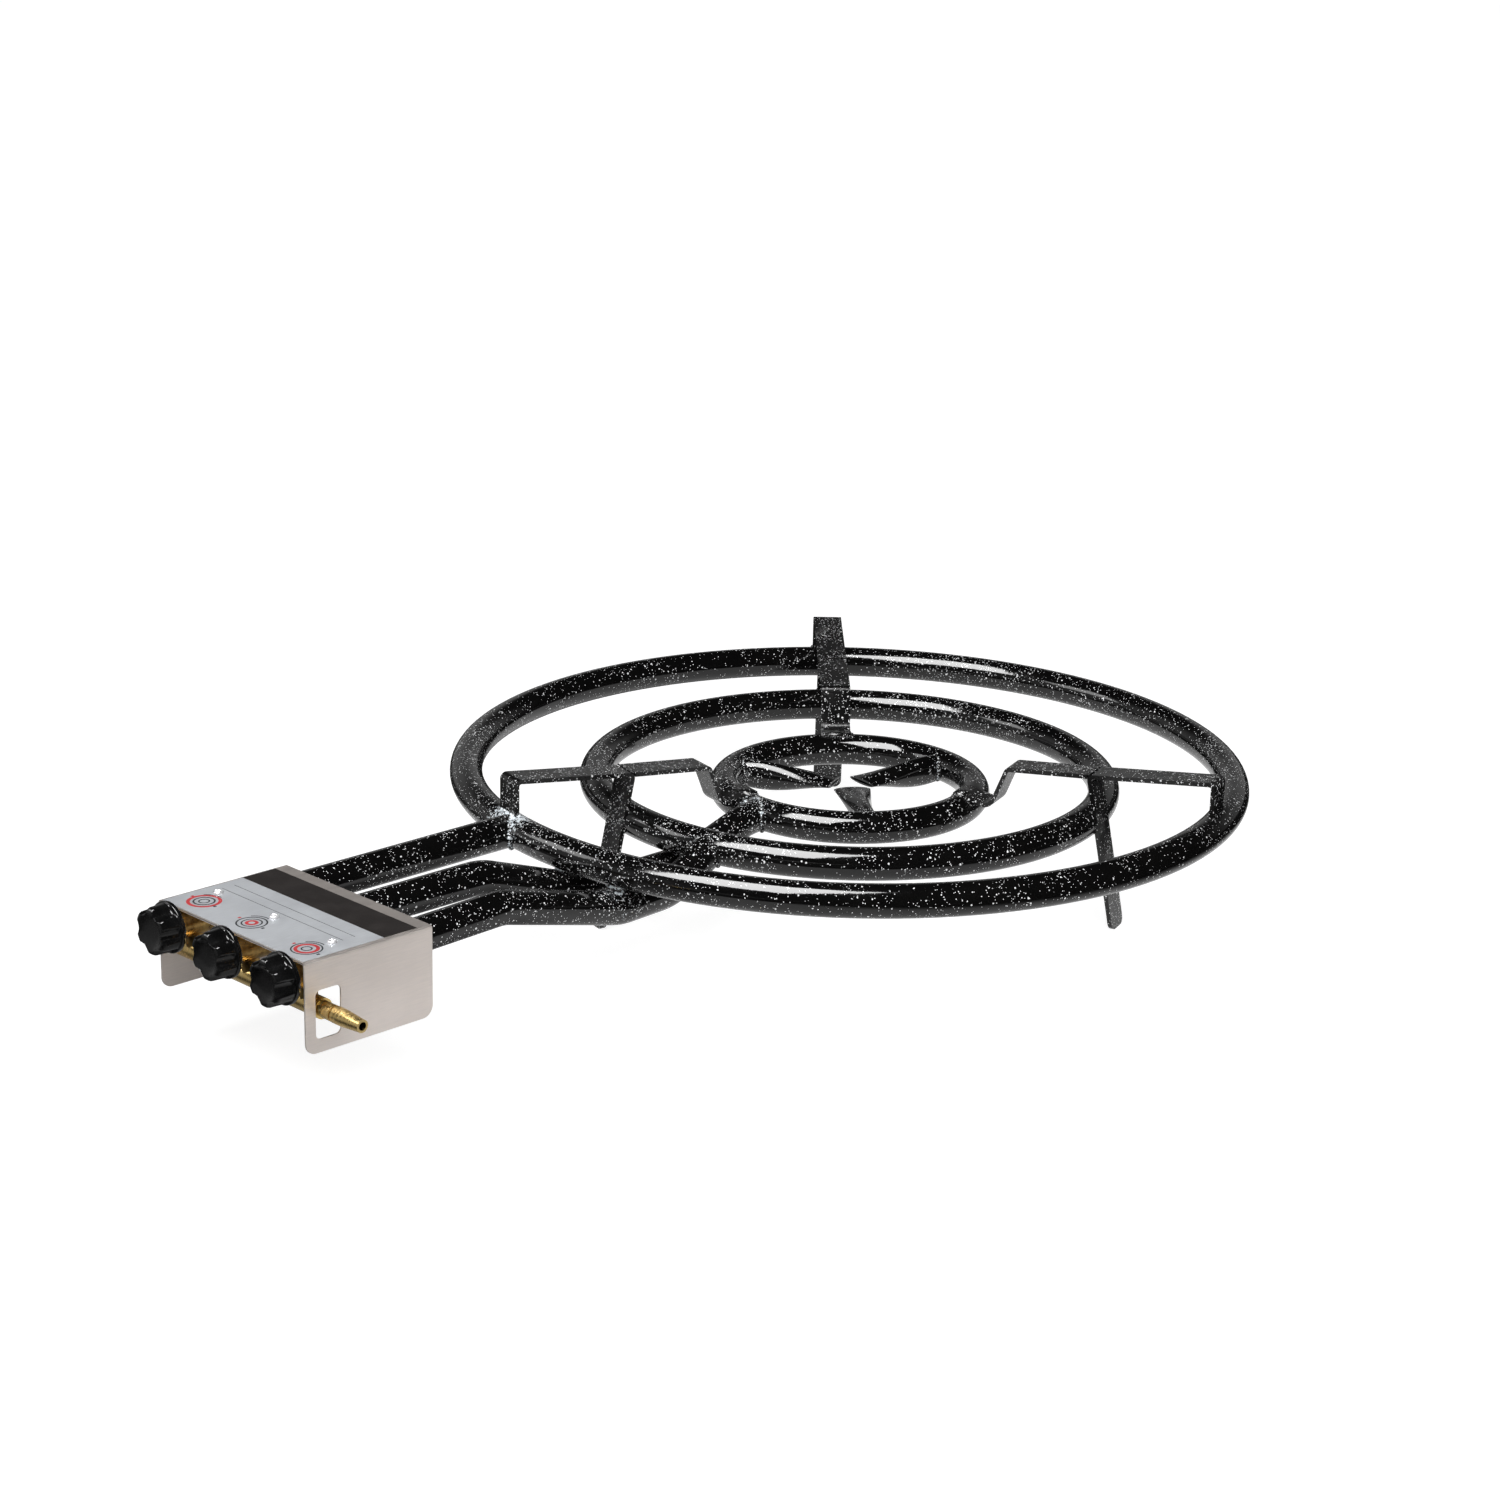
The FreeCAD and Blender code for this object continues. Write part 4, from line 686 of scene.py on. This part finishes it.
drops = add(weld_tree, "GeometryNodeInstanceOnPoints",
            {"Points": steps.outputs[0], "Instance": smooth.outputs[0],
             "Rotation": turn.outputs[0], "Scale": squeeze.outputs[0]})
end_tree(weld_tree, drops, tree_in, tree_out)
print("tree:", weld_tree.name, "nodes:", len(weld_tree.nodes))

# %% [markdown]
# ## Where the welds run
# Every weld here lies on a ring's round tube. So one walk finds them all: start beside the
# ring at a point of the piece's outline, step along the piece's own direction, and stop where
# the tube's skin is met. Walking from every point of a pipe's circle or a strap's rectangle
# gives the whole seam, also where two round tubes meet in a saddle shape.

# %% Walk to the skin of a ring
def skin_gap(ring, point):
    """How far a point is outside a ring's tube; below zero it is inside."""
    reach, height = RINGS[ring]
    flat = math.hypot(point.x - RING_X, point.y)
    return math.hypot(flat - reach, point.z - height) - TUBE_R


def walk_to_ring(ring, start, direction, furthest):
    """The first point of a straight walk on a ring's skin, or the one that comes closest."""
    stride = furthest / 120
    best, best_gap = start, skin_gap(ring, start)
    for count in range(121):
        point = start + direction * (stride * count)
        gap = skin_gap(ring, point)
        if gap <= 0:
            inside, outside = point, point - direction * stride
            for _ in range(12):
                middle = (inside + outside) / 2
                if skin_gap(ring, middle) <= 0:
                    inside = middle
                else:
                    outside = middle
            return outside
        if gap < best_gap:
            best, best_gap = point, gap
    return best


def tube_seam(ring, end, direction, radius, run=45 * MM, count=36):
    """The closed seam where a round bar that points at `end` meets a ring."""
    side = direction.cross(UP).normalized()
    top = side.cross(direction).normalized()
    seam = []
    for a in turns(count):
        start = (end - direction * run + side * (radius * math.cos(a))
                 + top * (radius * math.sin(a)))
        seam.append(walk_to_ring(ring, start, direction, run))
    return seam


def strap_point(support, reach, across, z):
    """A point of a pan support: reach from the rings' centre, place across, and height."""
    azimuth, side = SUPPORTS[support]
    a = math.radians(azimuth)
    across += side
    return Vector((RING_X + reach * math.cos(a) - across * math.sin(a),
                   reach * math.sin(a) + across * math.cos(a), z))


def across_strap(count=9, wide=STRAP_WIDE):
    """Evenly spaced places across a strap."""
    return [wide * (index / (count - 1) - 0.5) for index in range(count)]


top_of_outer = walk_to_ring("outer", Vector((RING_X + 0.288, 0, 0.12)), DOWN, 0.05)
print("walk from above meets the outer ring at", round(top_of_outer.z, 4))

# %% [markdown]
# ## Seams of the pipes, spurs and ties
# The three feed pipes end at their rings: the outer one level, the two others rising from
# below. Each spur starts at the inner ring's inside. Two short pegs tie the outer ring to the
# pipes that pass under it.

# %% Pipe, spur and tie seams
MOUTH_X = COVER_FRONT + 65.5 * MM
PIPE_PITCH = 60 * MM
SPUR_R = 9 * MM
TIE_R = 4.8 * MM
TIE_GAP = 5.6 * MM
MIDDLE_RUN, MIDDLE_RISE = 43.1, 21.6
INNER_RUN, INNER_RISE = 18.5, 1.6
PIPE_BEAD = 1.9 * MM
TIE_BEAD = 1.7 * MM
outer_reach, outer_height = RINGS["outer"]
middle_reach, middle_height = RINGS["middle"]
inner_reach, inner_height = RINGS["inner"]
outer_way = Vector((1, 0, 0))
outer_end = Vector((RING_X - math.sqrt(outer_reach ** 2 - PIPE_PITCH ** 2), PIPE_PITCH,
                    outer_height))
middle_turn = math.radians(MIDDLE_TURN)
middle_end = Vector((RING_X + middle_reach * math.cos(middle_turn),
                     middle_reach * math.sin(middle_turn), middle_height))
middle_plan = (middle_end - Vector((MOUTH_X, -PIPE_PITCH, middle_height))).normalized()
middle_way = (middle_plan * MIDDLE_RUN * MM + Vector((0, 0, MIDDLE_RISE * MM))).normalized()
inner_end = Vector((RING_X - inner_reach, 0, inner_height))
inner_way = Vector((INNER_RUN, 0, INNER_RISE)).normalized()

pipe_welds = [(tube_seam(ring, end, way, TUBE_R), True, PIPE_BEAD) for ring, end, way in (
    ("outer", outer_end, outer_way), ("middle", middle_end, middle_way),
    ("inner", inner_end, inner_way))]
for azimuth in SPUR_TURNS:
    outward = level(azimuth)
    root = Vector((RING_X, 0, inner_height)) + outward * inner_reach
    seam = tube_seam("inner", root, outward, SPUR_R, run=50 * MM, count=30)
    pipe_welds.append((seam, True, PIPE_BEAD))

# A tie stands where its pipe passes under the outer ring's centre line: a few rounds find it
tie_welds = []
for side, plan in ((0.0, outer_way), (-PIPE_PITCH, middle_plan)):
    slope = plan.y / plan.x
    y = side
    for _ in range(4):
        x = RING_X - math.sqrt(outer_reach ** 2 - y ** 2)
        y = side + (x - MOUTH_X) * slope
    low = outer_height - TUBE_R - TIE_GAP
    foot, head = ([Vector((x + TIE_R * math.cos(a), y + TIE_R * math.sin(a), low + lift))
                   for a in turns(14)] for lift in (0.6 * MM, TIE_GAP))
    head = [walk_to_ring("outer", point, UP, TIE_GAP * 2) for point in head]
    tie_welds += [(foot, True, TIE_BEAD), (head, True, TIE_BEAD)]
print("pipe and spur seams:", len(pipe_welds), "tie seams:", len(tie_welds))

# %% [markdown]
# ## Seams of the pan supports
# A support meets the steel three times: its foot stands on the outer ring, its leg is welded
# to the outside of the middle ring, and its inner end rests on the inner ring. The two bars
# that make up a support also have a low bead across their top, where they meet.

# %% Support seams
HALF_STRAP = 1.6 * MM
OUTER_FOOT = outer_reach + HALF_STRAP
# A leg's outer face is at LEG_REACH where it is LEG_LOW high, and leans in from there
LEG_REACH = 215.5 * MM
LEG_LOW = 15 * MM
LEAN = (12.0 + 1.1) / (79.0 - 15.0)
SEAM_REACH = 195.0 * MM
SEAM_TOP = 116.8 * MM
TAIL_START = 99.0 * MM
TAIL_END = 89.0 * MM
REST_FAR = TAIL_START + 5 * MM
REST_WIDE = STRAP_WIDE + 0.6 * MM
SUPPORT_BEAD = 1.5 * MM
REST_BEAD = 1.3 * MM
TOP_BEAD = 0.75 * MM


def drop_to_ring(ring, support, reach, across):
    """Where a straight fall from above, at a place over a support, meets a ring."""
    start = strap_point(support, reach, across, RINGS[ring][1] + 30 * MM)
    return walk_to_ring(ring, start, DOWN, 40 * MM)


rest_run = [(REST_FAR - TAIL_END) * count / 6 for count in range(1, 7)]
rest_outline = [(TAIL_END, w) for w in across_strap(wide=REST_WIDE)]
rest_outline += [(TAIL_END + run, REST_WIDE / 2) for run in rest_run]
rest_outline += [(REST_FAR, w) for w in across_strap(wide=REST_WIDE)[::-1]]
rest_outline += [(REST_FAR - run, -REST_WIDE / 2) for run in rest_run]
strap_welds, seam_beads = [], []
for support, (azimuth, _) in enumerate(SUPPORTS):
    foot = [drop_to_ring("outer", support, OUTER_FOOT + HALF_STRAP, w) for w in across_strap()]
    foot += [drop_to_ring("outer", support, OUTER_FOOT - HALF_STRAP, w)
             for w in across_strap()[::-1]]
    strap_welds.append((foot, True, SUPPORT_BEAD))
    radial = level(azimuth)
    for way in (1, -1):
        z = middle_height + 20 * MM * way
        reach = LEG_REACH - LEAN * (z - LEG_LOW) - HALF_STRAP
        slide = (radial * LEAN + DOWN).normalized() * way
        line = [walk_to_ring("middle", strap_point(support, reach, w, z), slide, 30 * MM)
                for w in across_strap()]
        strap_welds.append((line, False, SUPPORT_BEAD))
    rest = [drop_to_ring("inner", support, reach, w) for reach, w in rest_outline]
    strap_welds.append((rest, True, REST_BEAD))
    top = [strap_point(support, SEAM_REACH, w, SEAM_TOP) for w in across_strap()]
    seam_beads.append((top, False, TOP_BEAD))
print("support seams:", len(strap_welds), "top beads:", len(seam_beads))

# %% Lay the weld drops
weld_enamel = enamel("enamel_welds", 0.45, 0.16, 0.25, [
    (OUTER_JOINT, 0.05, 1.0), (TIE_PLACES[0], 0.03, 1.0), (TIE_PLACES[1], 0.03, 1.0),
    (MIDDLE_JOINT, 0.04, 0.5), (INNER_JOINT, 0.035, 0.8),
    *((root, 0.03, strength) for root, strength in zip(SPUR_ROOTS, (0.75, 0.6, 0.6)))])
for name, paths, step, seed in (
        ("pipe_welds", pipe_welds, 2.3 * MM, 3), ("tie_welds", tie_welds, 2.2 * MM, 5),
        ("support_welds", strap_welds, 1.9 * MM, 7), ("seam_beads", seam_beads, 1.1 * MM, 11)):
    finish = strap_enamel if name == "seam_beads" else weld_enamel
    mesh = run_tree(name, path_mesh(name + "_paths", paths), weld_tree,
                    {"Step": step, "Seed": seed, "Finish": finish})
    place_piece(name, mesh, "burner")
    print(name, "faces:", len(mesh.polygons))

# %% [markdown]
# ## Ends of the pan supports
# The solid supports stop where they touch the inner ring. On the real burner the flat bar
# runs a little further, over the ring's top, where it is welded down. Each end is a short
# bevelled plate that goes on at the bar's own slope and sinks a little into the ring.

# %% Support ends over the inner ring
BOX_FACES = ((0, 3, 2, 1), (4, 5, 6, 7), (0, 1, 5, 4), (1, 2, 6, 5), (2, 3, 7, 6), (3, 0, 4, 7))
# The bar's top is 84.4 mm high at 97.5 mm from the rings' centre, and 80 mm at 118.5 mm
BAR_REACH = 97.5 * MM
BAR_TOP = 84.4 * MM
BAR_SLOPE = (84.4 - 80.0) / (118.5 - 97.5)
END_BEVEL = 0.5 * MM
half = STRAP_WIDE / 2
end_plan = ((TAIL_START, -half), (TAIL_START, half), (TAIL_END, half), (TAIL_END, -half))
for support in range(3):
    corners = [strap_point(support, reach, across, BAR_TOP + (BAR_REACH - reach) * BAR_SLOPE + lift)
               for lift in (-2 * HALF_STRAP, 0.0) for reach, across in end_plan]
    name = f"support_end_{support + 1}"
    place_piece(name, closed_mesh(name, corners, BOX_FACES, bevel=END_BEVEL), "burner",
                strap_enamel)
print("support ends:", len(SUPPORTS))

# %% [markdown]
# ## Knobs
# A moulded knob has no sharp edge: six lobes swell between six flutes, the flutes are deep at
# the front and run out at a round skirt, and the front has a rounded rim around a sunk face.
# A plain CAD cut can't blend those, so the knob is drawn again as one closed skin.
#
# The skin is a stack of outlines along the knob's axis. Each outline is a circle pressed in
# by the six flutes, and where circle and flute meet the two radii are blended with a smooth
# minimum, which gives the lobes their round shoulders. Behind, the skin turns into the hollow
# and the hub with the spindle's hole.

# %% Knob profile and outline
KNOB_FRONT = -445.0 * MM
KNOB_TALL = 16.5
GRIP_END, GRIP_R, GRIP_TAPER = 13.2, 16.2, 0.4
RIM_DEEP, RIM_R, RIM_SWELL = 3.2, 13.6, 2.6
FLUTE_R, FLUTE_PLACE, FLUTE_SLANT = 6.4, 18.2, 0.17
LOBES = 6
LOBE_BLEND = 1.5


def soft_min(a, b, blend_width):
    """The smaller of two radii, with a round blend where they are close."""
    share = max(blend_width - abs(a - b), 0.0) / blend_width
    return min(a, b) - share * share * blend_width / 4


def grip_radius(depth):
    """Radius of the grip's lobes at a depth behind the front, in millimetres."""
    if depth >= RIM_DEEP:
        return GRIP_R + GRIP_TAPER * (depth - RIM_DEEP) / (GRIP_END - RIM_DEEP)
    return RIM_R + RIM_SWELL * math.sqrt(1 - (1 - depth / RIM_DEEP) ** 2)


def lobed(radius, depth, angle):
    """A circle's radius pressed in by the nearest flute, at an angle around the knob."""
    pitch = 2 * math.pi / LOBES
    nearest = (angle % pitch) - pitch / 2
    flute_place = FLUTE_PLACE + FLUTE_SLANT * depth
    miss = flute_place * math.sin(nearest)
    if abs(miss) >= FLUTE_R:
        return radius
    pressed = flute_place * math.cos(nearest) - math.sqrt(FLUTE_R ** 2 - miss ** 2)
    return soft_min(radius, pressed, LOBE_BLEND)


def knob_profile():
    """(depth, radius, lobed share) from the middle of the front to the end of the hole."""
    front = [(2.4, 0.0, 0), (2.35, 3.0, 0), (2.2, 6.0, 0), (1.95, 8.0, 0.1), (1.5, 9.6, 0.5),
             (0.9, 10.8, 0.8), (0.35, 11.9, 1), (0.06, 12.9, 1)]
    rim = [(depth, grip_radius(depth), 1) for depth in (0.0, 0.12, 0.4, 0.9, 1.6, 2.4, 3.2)]
    grip = [(depth, grip_radius(depth), 1) for depth in (5.0, 7.0, 9.0, 11.0, 12.4, GRIP_END)]
    skirt = [(13.35, 16.9, 0.2), (13.5, 17.25, 0), (13.8, 17.45, 0), (14.3, 17.5, 0),
             (15.9, 17.5, 0), (16.3, 17.35, 0), (KNOB_TALL, 17.0, 0)]
    hollow = [(KNOB_TALL, 13.8, 0), (16.3, 13.4, 0), (9.8, 13.4, 0), (9.5, 13.1, 0),
              (9.5, 5.3, 0), (9.8, 5.0, 0), (10.9, 5.0, 0), (11.1, 4.8, 0), (11.1, 3.1, 0),
              (4.0, 3.1, 0), (4.0, 0.0, 0)]
    return front + rim + grip + skirt + hollow

# %% Build the knobs
def knob_mesh(name, y):
    """One closed skin around an axis along X, with the front towards -X."""
    profile = knob_profile()
    rows = []
    for depth, radius, share in profile[1:-1]:
        row = []
        for angle in turns(144):
            out = (radius + share * (lobed(radius, depth, angle) - radius)) * MM
            row.append(Vector((KNOB_FRONT + depth * MM, y + out * math.sin(angle),
                               outer_height + out * math.cos(angle))))
        rows.append(row)
    front, end = (Vector((KNOB_FRONT + depth * MM, y, outer_height))
                  for depth in (profile[0][0], profile[-1][0]))
    return mesh_of_rows(name, front, rows, end)


for number, y in TAP_Y.items():
    name = f"moulded_knob_{number}"
    mesh = knob_mesh(name, y)
    piece = place_piece(name, mesh, KNOB_BODY[number], knob_black)
    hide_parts(f"knob_{number}")
    print(name, "faces:", len(mesh.polygons), "rides on", KNOB_BODY[number])

# %% [markdown]
# ## Printed marks on the label
# Beside each knob the label shows which ring the knob feeds: three circles, one of them broad
# and red. A short arc and two small marks show how the knob turns. Two thin lines divide the
# sheet further back. Print has no thickness to speak of, so each mark is a flat band just
# above the sheet, bent along an arc.

# %% Printed circles, arcs and lines
PRINT_RISE = 0.06 * MM


def printed_band(centre, radius, half_wide, start=0.0, end=360.0):
    """A flat band along an arc on the label, as corner points and faces of a thin closed slab."""
    full = end - start >= 360.0
    steps = max(3, round((end - start) / 6.0))
    points, faces = [], []
    for index in range(steps + (0 if full else 1)):
        a = math.radians(start + (end - start) * index / steps)
        for r, z in ((radius - half_wide, 0), (radius + half_wide, 0),
                     (radius + half_wide, PRINT_RISE), (radius - half_wide, PRINT_RISE)):
            points.append(Vector((centre.x + r * math.cos(a), centre.y + r * math.sin(a),
                                  LABEL_TOP + z)))
    rows = len(points) // 4
    for row in range(rows if full else rows - 1):
        here, there = row * 4, (row + 1) % rows * 4
        for side in range(4):
            after = (side + 1) % 4
            faces.append((here + side, here + after, there + after, there + side))
    if not full:
        faces.append((3, 2, 1, 0))
        faces.append((rows * 4 - 4, rows * 4 - 3, rows * 4 - 2, rows * 4 - 1))
    return points, faces


def printed_bar(low, high):
    """A straight printed bar between two corners on the label."""
    points = [Vector((x, y, LABEL_TOP + z)) for z in (0, PRINT_RISE)
              for x, y in ((low.x, low.y), (high.x, low.y), (high.x, high.y), (low.x, high.y))]
    return points, BOX_FACES


def join_prints(name, parts, finish):
    """Place printed bands and bars as one piece."""
    points, faces = [], []
    for part_points, part_faces in parts:
        first = len(points)
        points += part_points
        faces += [tuple(first + corner for corner in one) for one in part_faces]
    place_piece(name, closed_mesh(name, points, faces, smooth=False), "burner", finish)


# Each mark: its middle (back from the cover's front edge, across), then dark and red circles
# as (radius, half width), all in millimetres
MARKS = (
    ((19.5, 54.2), ((6.9, 0.6), (3.4, 0.5)), ((10.4, 1.2),)),
    ((18.7, 2.0), ((9.9, 0.55), (6.6, 0.5)), ((3.3, 1.1),)),
    ((16.8, -57.5), ((9.9, 0.5), (3.3, 0.5)), ((7.1, 1.2),)),
)
# Beside each mark: (radius, half width, from and to angle) of its arc and end marks
DARK_ARCS = ((12.4, 0.4, -8, 56), (12.6, 0.9, -98, -88))
RED_ARC = (12.6, 0.9, 86, 96)
LINES_BACK = (42.6, 52.2)
LINE_HALF = 0.2
LINE_FROM, LINE_TO = -61, 66
print_dark = coated("print_dark", (0.030, 0.030, 0.036), (0.020, 0.020, 0.025), 0.45, 90, 0.02,
                    shine=0.2)
print_red = coated("print_red", (0.56, 0.050, 0.055), (0.48, 0.040, 0.045), 0.45, 90, 0.02,
                   shine=0.2)
dark_parts, red_parts = [], []
for (back_by, across), dark_rings, red_rings in MARKS:
    centre = Vector((COVER_FRONT + back_by * MM, across * MM, 0))
    dark_parts += [printed_band(centre, r * MM, half * MM) for r, half in dark_rings]
    red_parts += [printed_band(centre, r * MM, half * MM) for r, half in red_rings]
    for parts, (r, half, start, end) in ((dark_parts, DARK_ARCS[0]), (dark_parts, DARK_ARCS[1]),
                                         (red_parts, RED_ARC)):
        parts.append(printed_band(centre, r * MM, half * MM, start, end))
for back_by in LINES_BACK:
    low = Vector((COVER_FRONT + (back_by - LINE_HALF) * MM, LINE_FROM * MM, 0))
    high = Vector((COVER_FRONT + (back_by + LINE_HALF) * MM, LINE_TO * MM, 0))
    dark_parts.append(printed_bar(low, high))
join_prints("label_marks_dark", dark_parts, print_dark)
join_prints("label_marks_red", red_parts, print_red)
print("printed bands:", len(dark_parts), "dark,", len(red_parts), "red")

# %% [markdown]
# ## Cover screws
# The three cover screws have domed heads with a cross recess. The recess is a dip in the
# dome's height, soft at its edges. One head is drawn as a mesh, and Geometry Nodes sets it on
# the three screw places with a different turn for each, as hands leave them.

# %% Screw head with a cross recess
SCREW_X = COVER_FRONT + 35 * MM
HEAD_R = 3.5 * MM
HEAD_TALL = 2.4 * MM
HEAD_EDGE = 0.35 * MM
SHANK_R = 2.0 * MM
SHANK_END = -7.6 * MM
CROSS_ARM = 0.55 * MM
CROSS_REACH = 1.9 * MM
CROSS_DEEP = 1.1 * MM
CROSS_SOFT = 0.25 * MM


def recess(x, y):
    """Depth of the cross at a place on the head."""
    a, b = abs(x), abs(y)
    arms = max(min(CROSS_ARM - a, CROSS_REACH - b), min(CROSS_ARM - b, CROSS_REACH - a))
    share = min(max(arms / CROSS_SOFT + 0.5, 0.0), 1.0)
    return CROSS_DEEP * share * share * (3 - 2 * share)


def screw_mesh():
    """A screw along Z: dome at Z 0 and above, shank below."""
    dome_rows = 9
    profile = [(HEAD_R * (row / dome_rows), None) for row in range(1, dome_rows + 1)]
    profile += [(HEAD_R, 0.0), (SHANK_R, 0.0), (SHANK_R, SHANK_END)]
    rows = []
    for r, fixed in profile:
        row = []
        for a in turns(32):
            x, y = r * math.cos(a), r * math.sin(a)
            round_off = math.sqrt(max(0.0, 1 - (r / HEAD_R) ** 2.4))
            dome = HEAD_EDGE + (HEAD_TALL - HEAD_EDGE) * round_off
            row.append(Vector((x, y, dome - recess(x, y) if fixed is None else fixed)))
        rows.append(row)
    middle = Vector((0, 0, HEAD_TALL - recess(0, 0)))
    return mesh_of_rows("cover_screw_pattern", middle, rows, Vector((0, 0, SHANK_END)))


pattern = new_object("cover_screw_pattern", screw_mesh())
screw_tree, tree_in, tree_out = new_group(
    "set_screws", "GeometryNodeTree",
    {"Geometry": "Geometry", "Screw": "Object", "Seed": "Int", "Finish": "Material"},
    {"Geometry": "Geometry"})
shape = add(screw_tree, "GeometryNodeObjectInfo", {"Object": tree_in.outputs["Screw"]})
spin = add(screw_tree, "FunctionNodeRandomValue",
           {2: 0.0, 3: math.pi / 2, "Seed": tree_in.outputs["Seed"]}, data_type="FLOAT")
angles = add(screw_tree, "ShaderNodeCombineXYZ", {"Z": spin.outputs[1]})
screws = add(screw_tree, "GeometryNodeInstanceOnPoints",
             {"Points": tree_in.outputs["Geometry"], "Instance": shape.outputs["Geometry"],
              "Rotation": angles.outputs[0]})
end_tree(screw_tree, screws, tree_in, tree_out)
screw_places = bpy.data.meshes.new("screw_places")
screw_places.from_pydata([Vector((SCREW_X, y, LABEL_TOP)) for y in TAP_Y.values()], [], [])
mesh = run_tree("recessed_screws", screw_places, screw_tree,
                {"Screw": pattern, "Seed": 4, "Finish": bright_plate})
bpy.data.objects.remove(pattern)
piece = place_piece("recessed_screws", mesh, "burner")
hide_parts("cover_screws")
print("recessed screws, faces:", len(mesh.polygons))
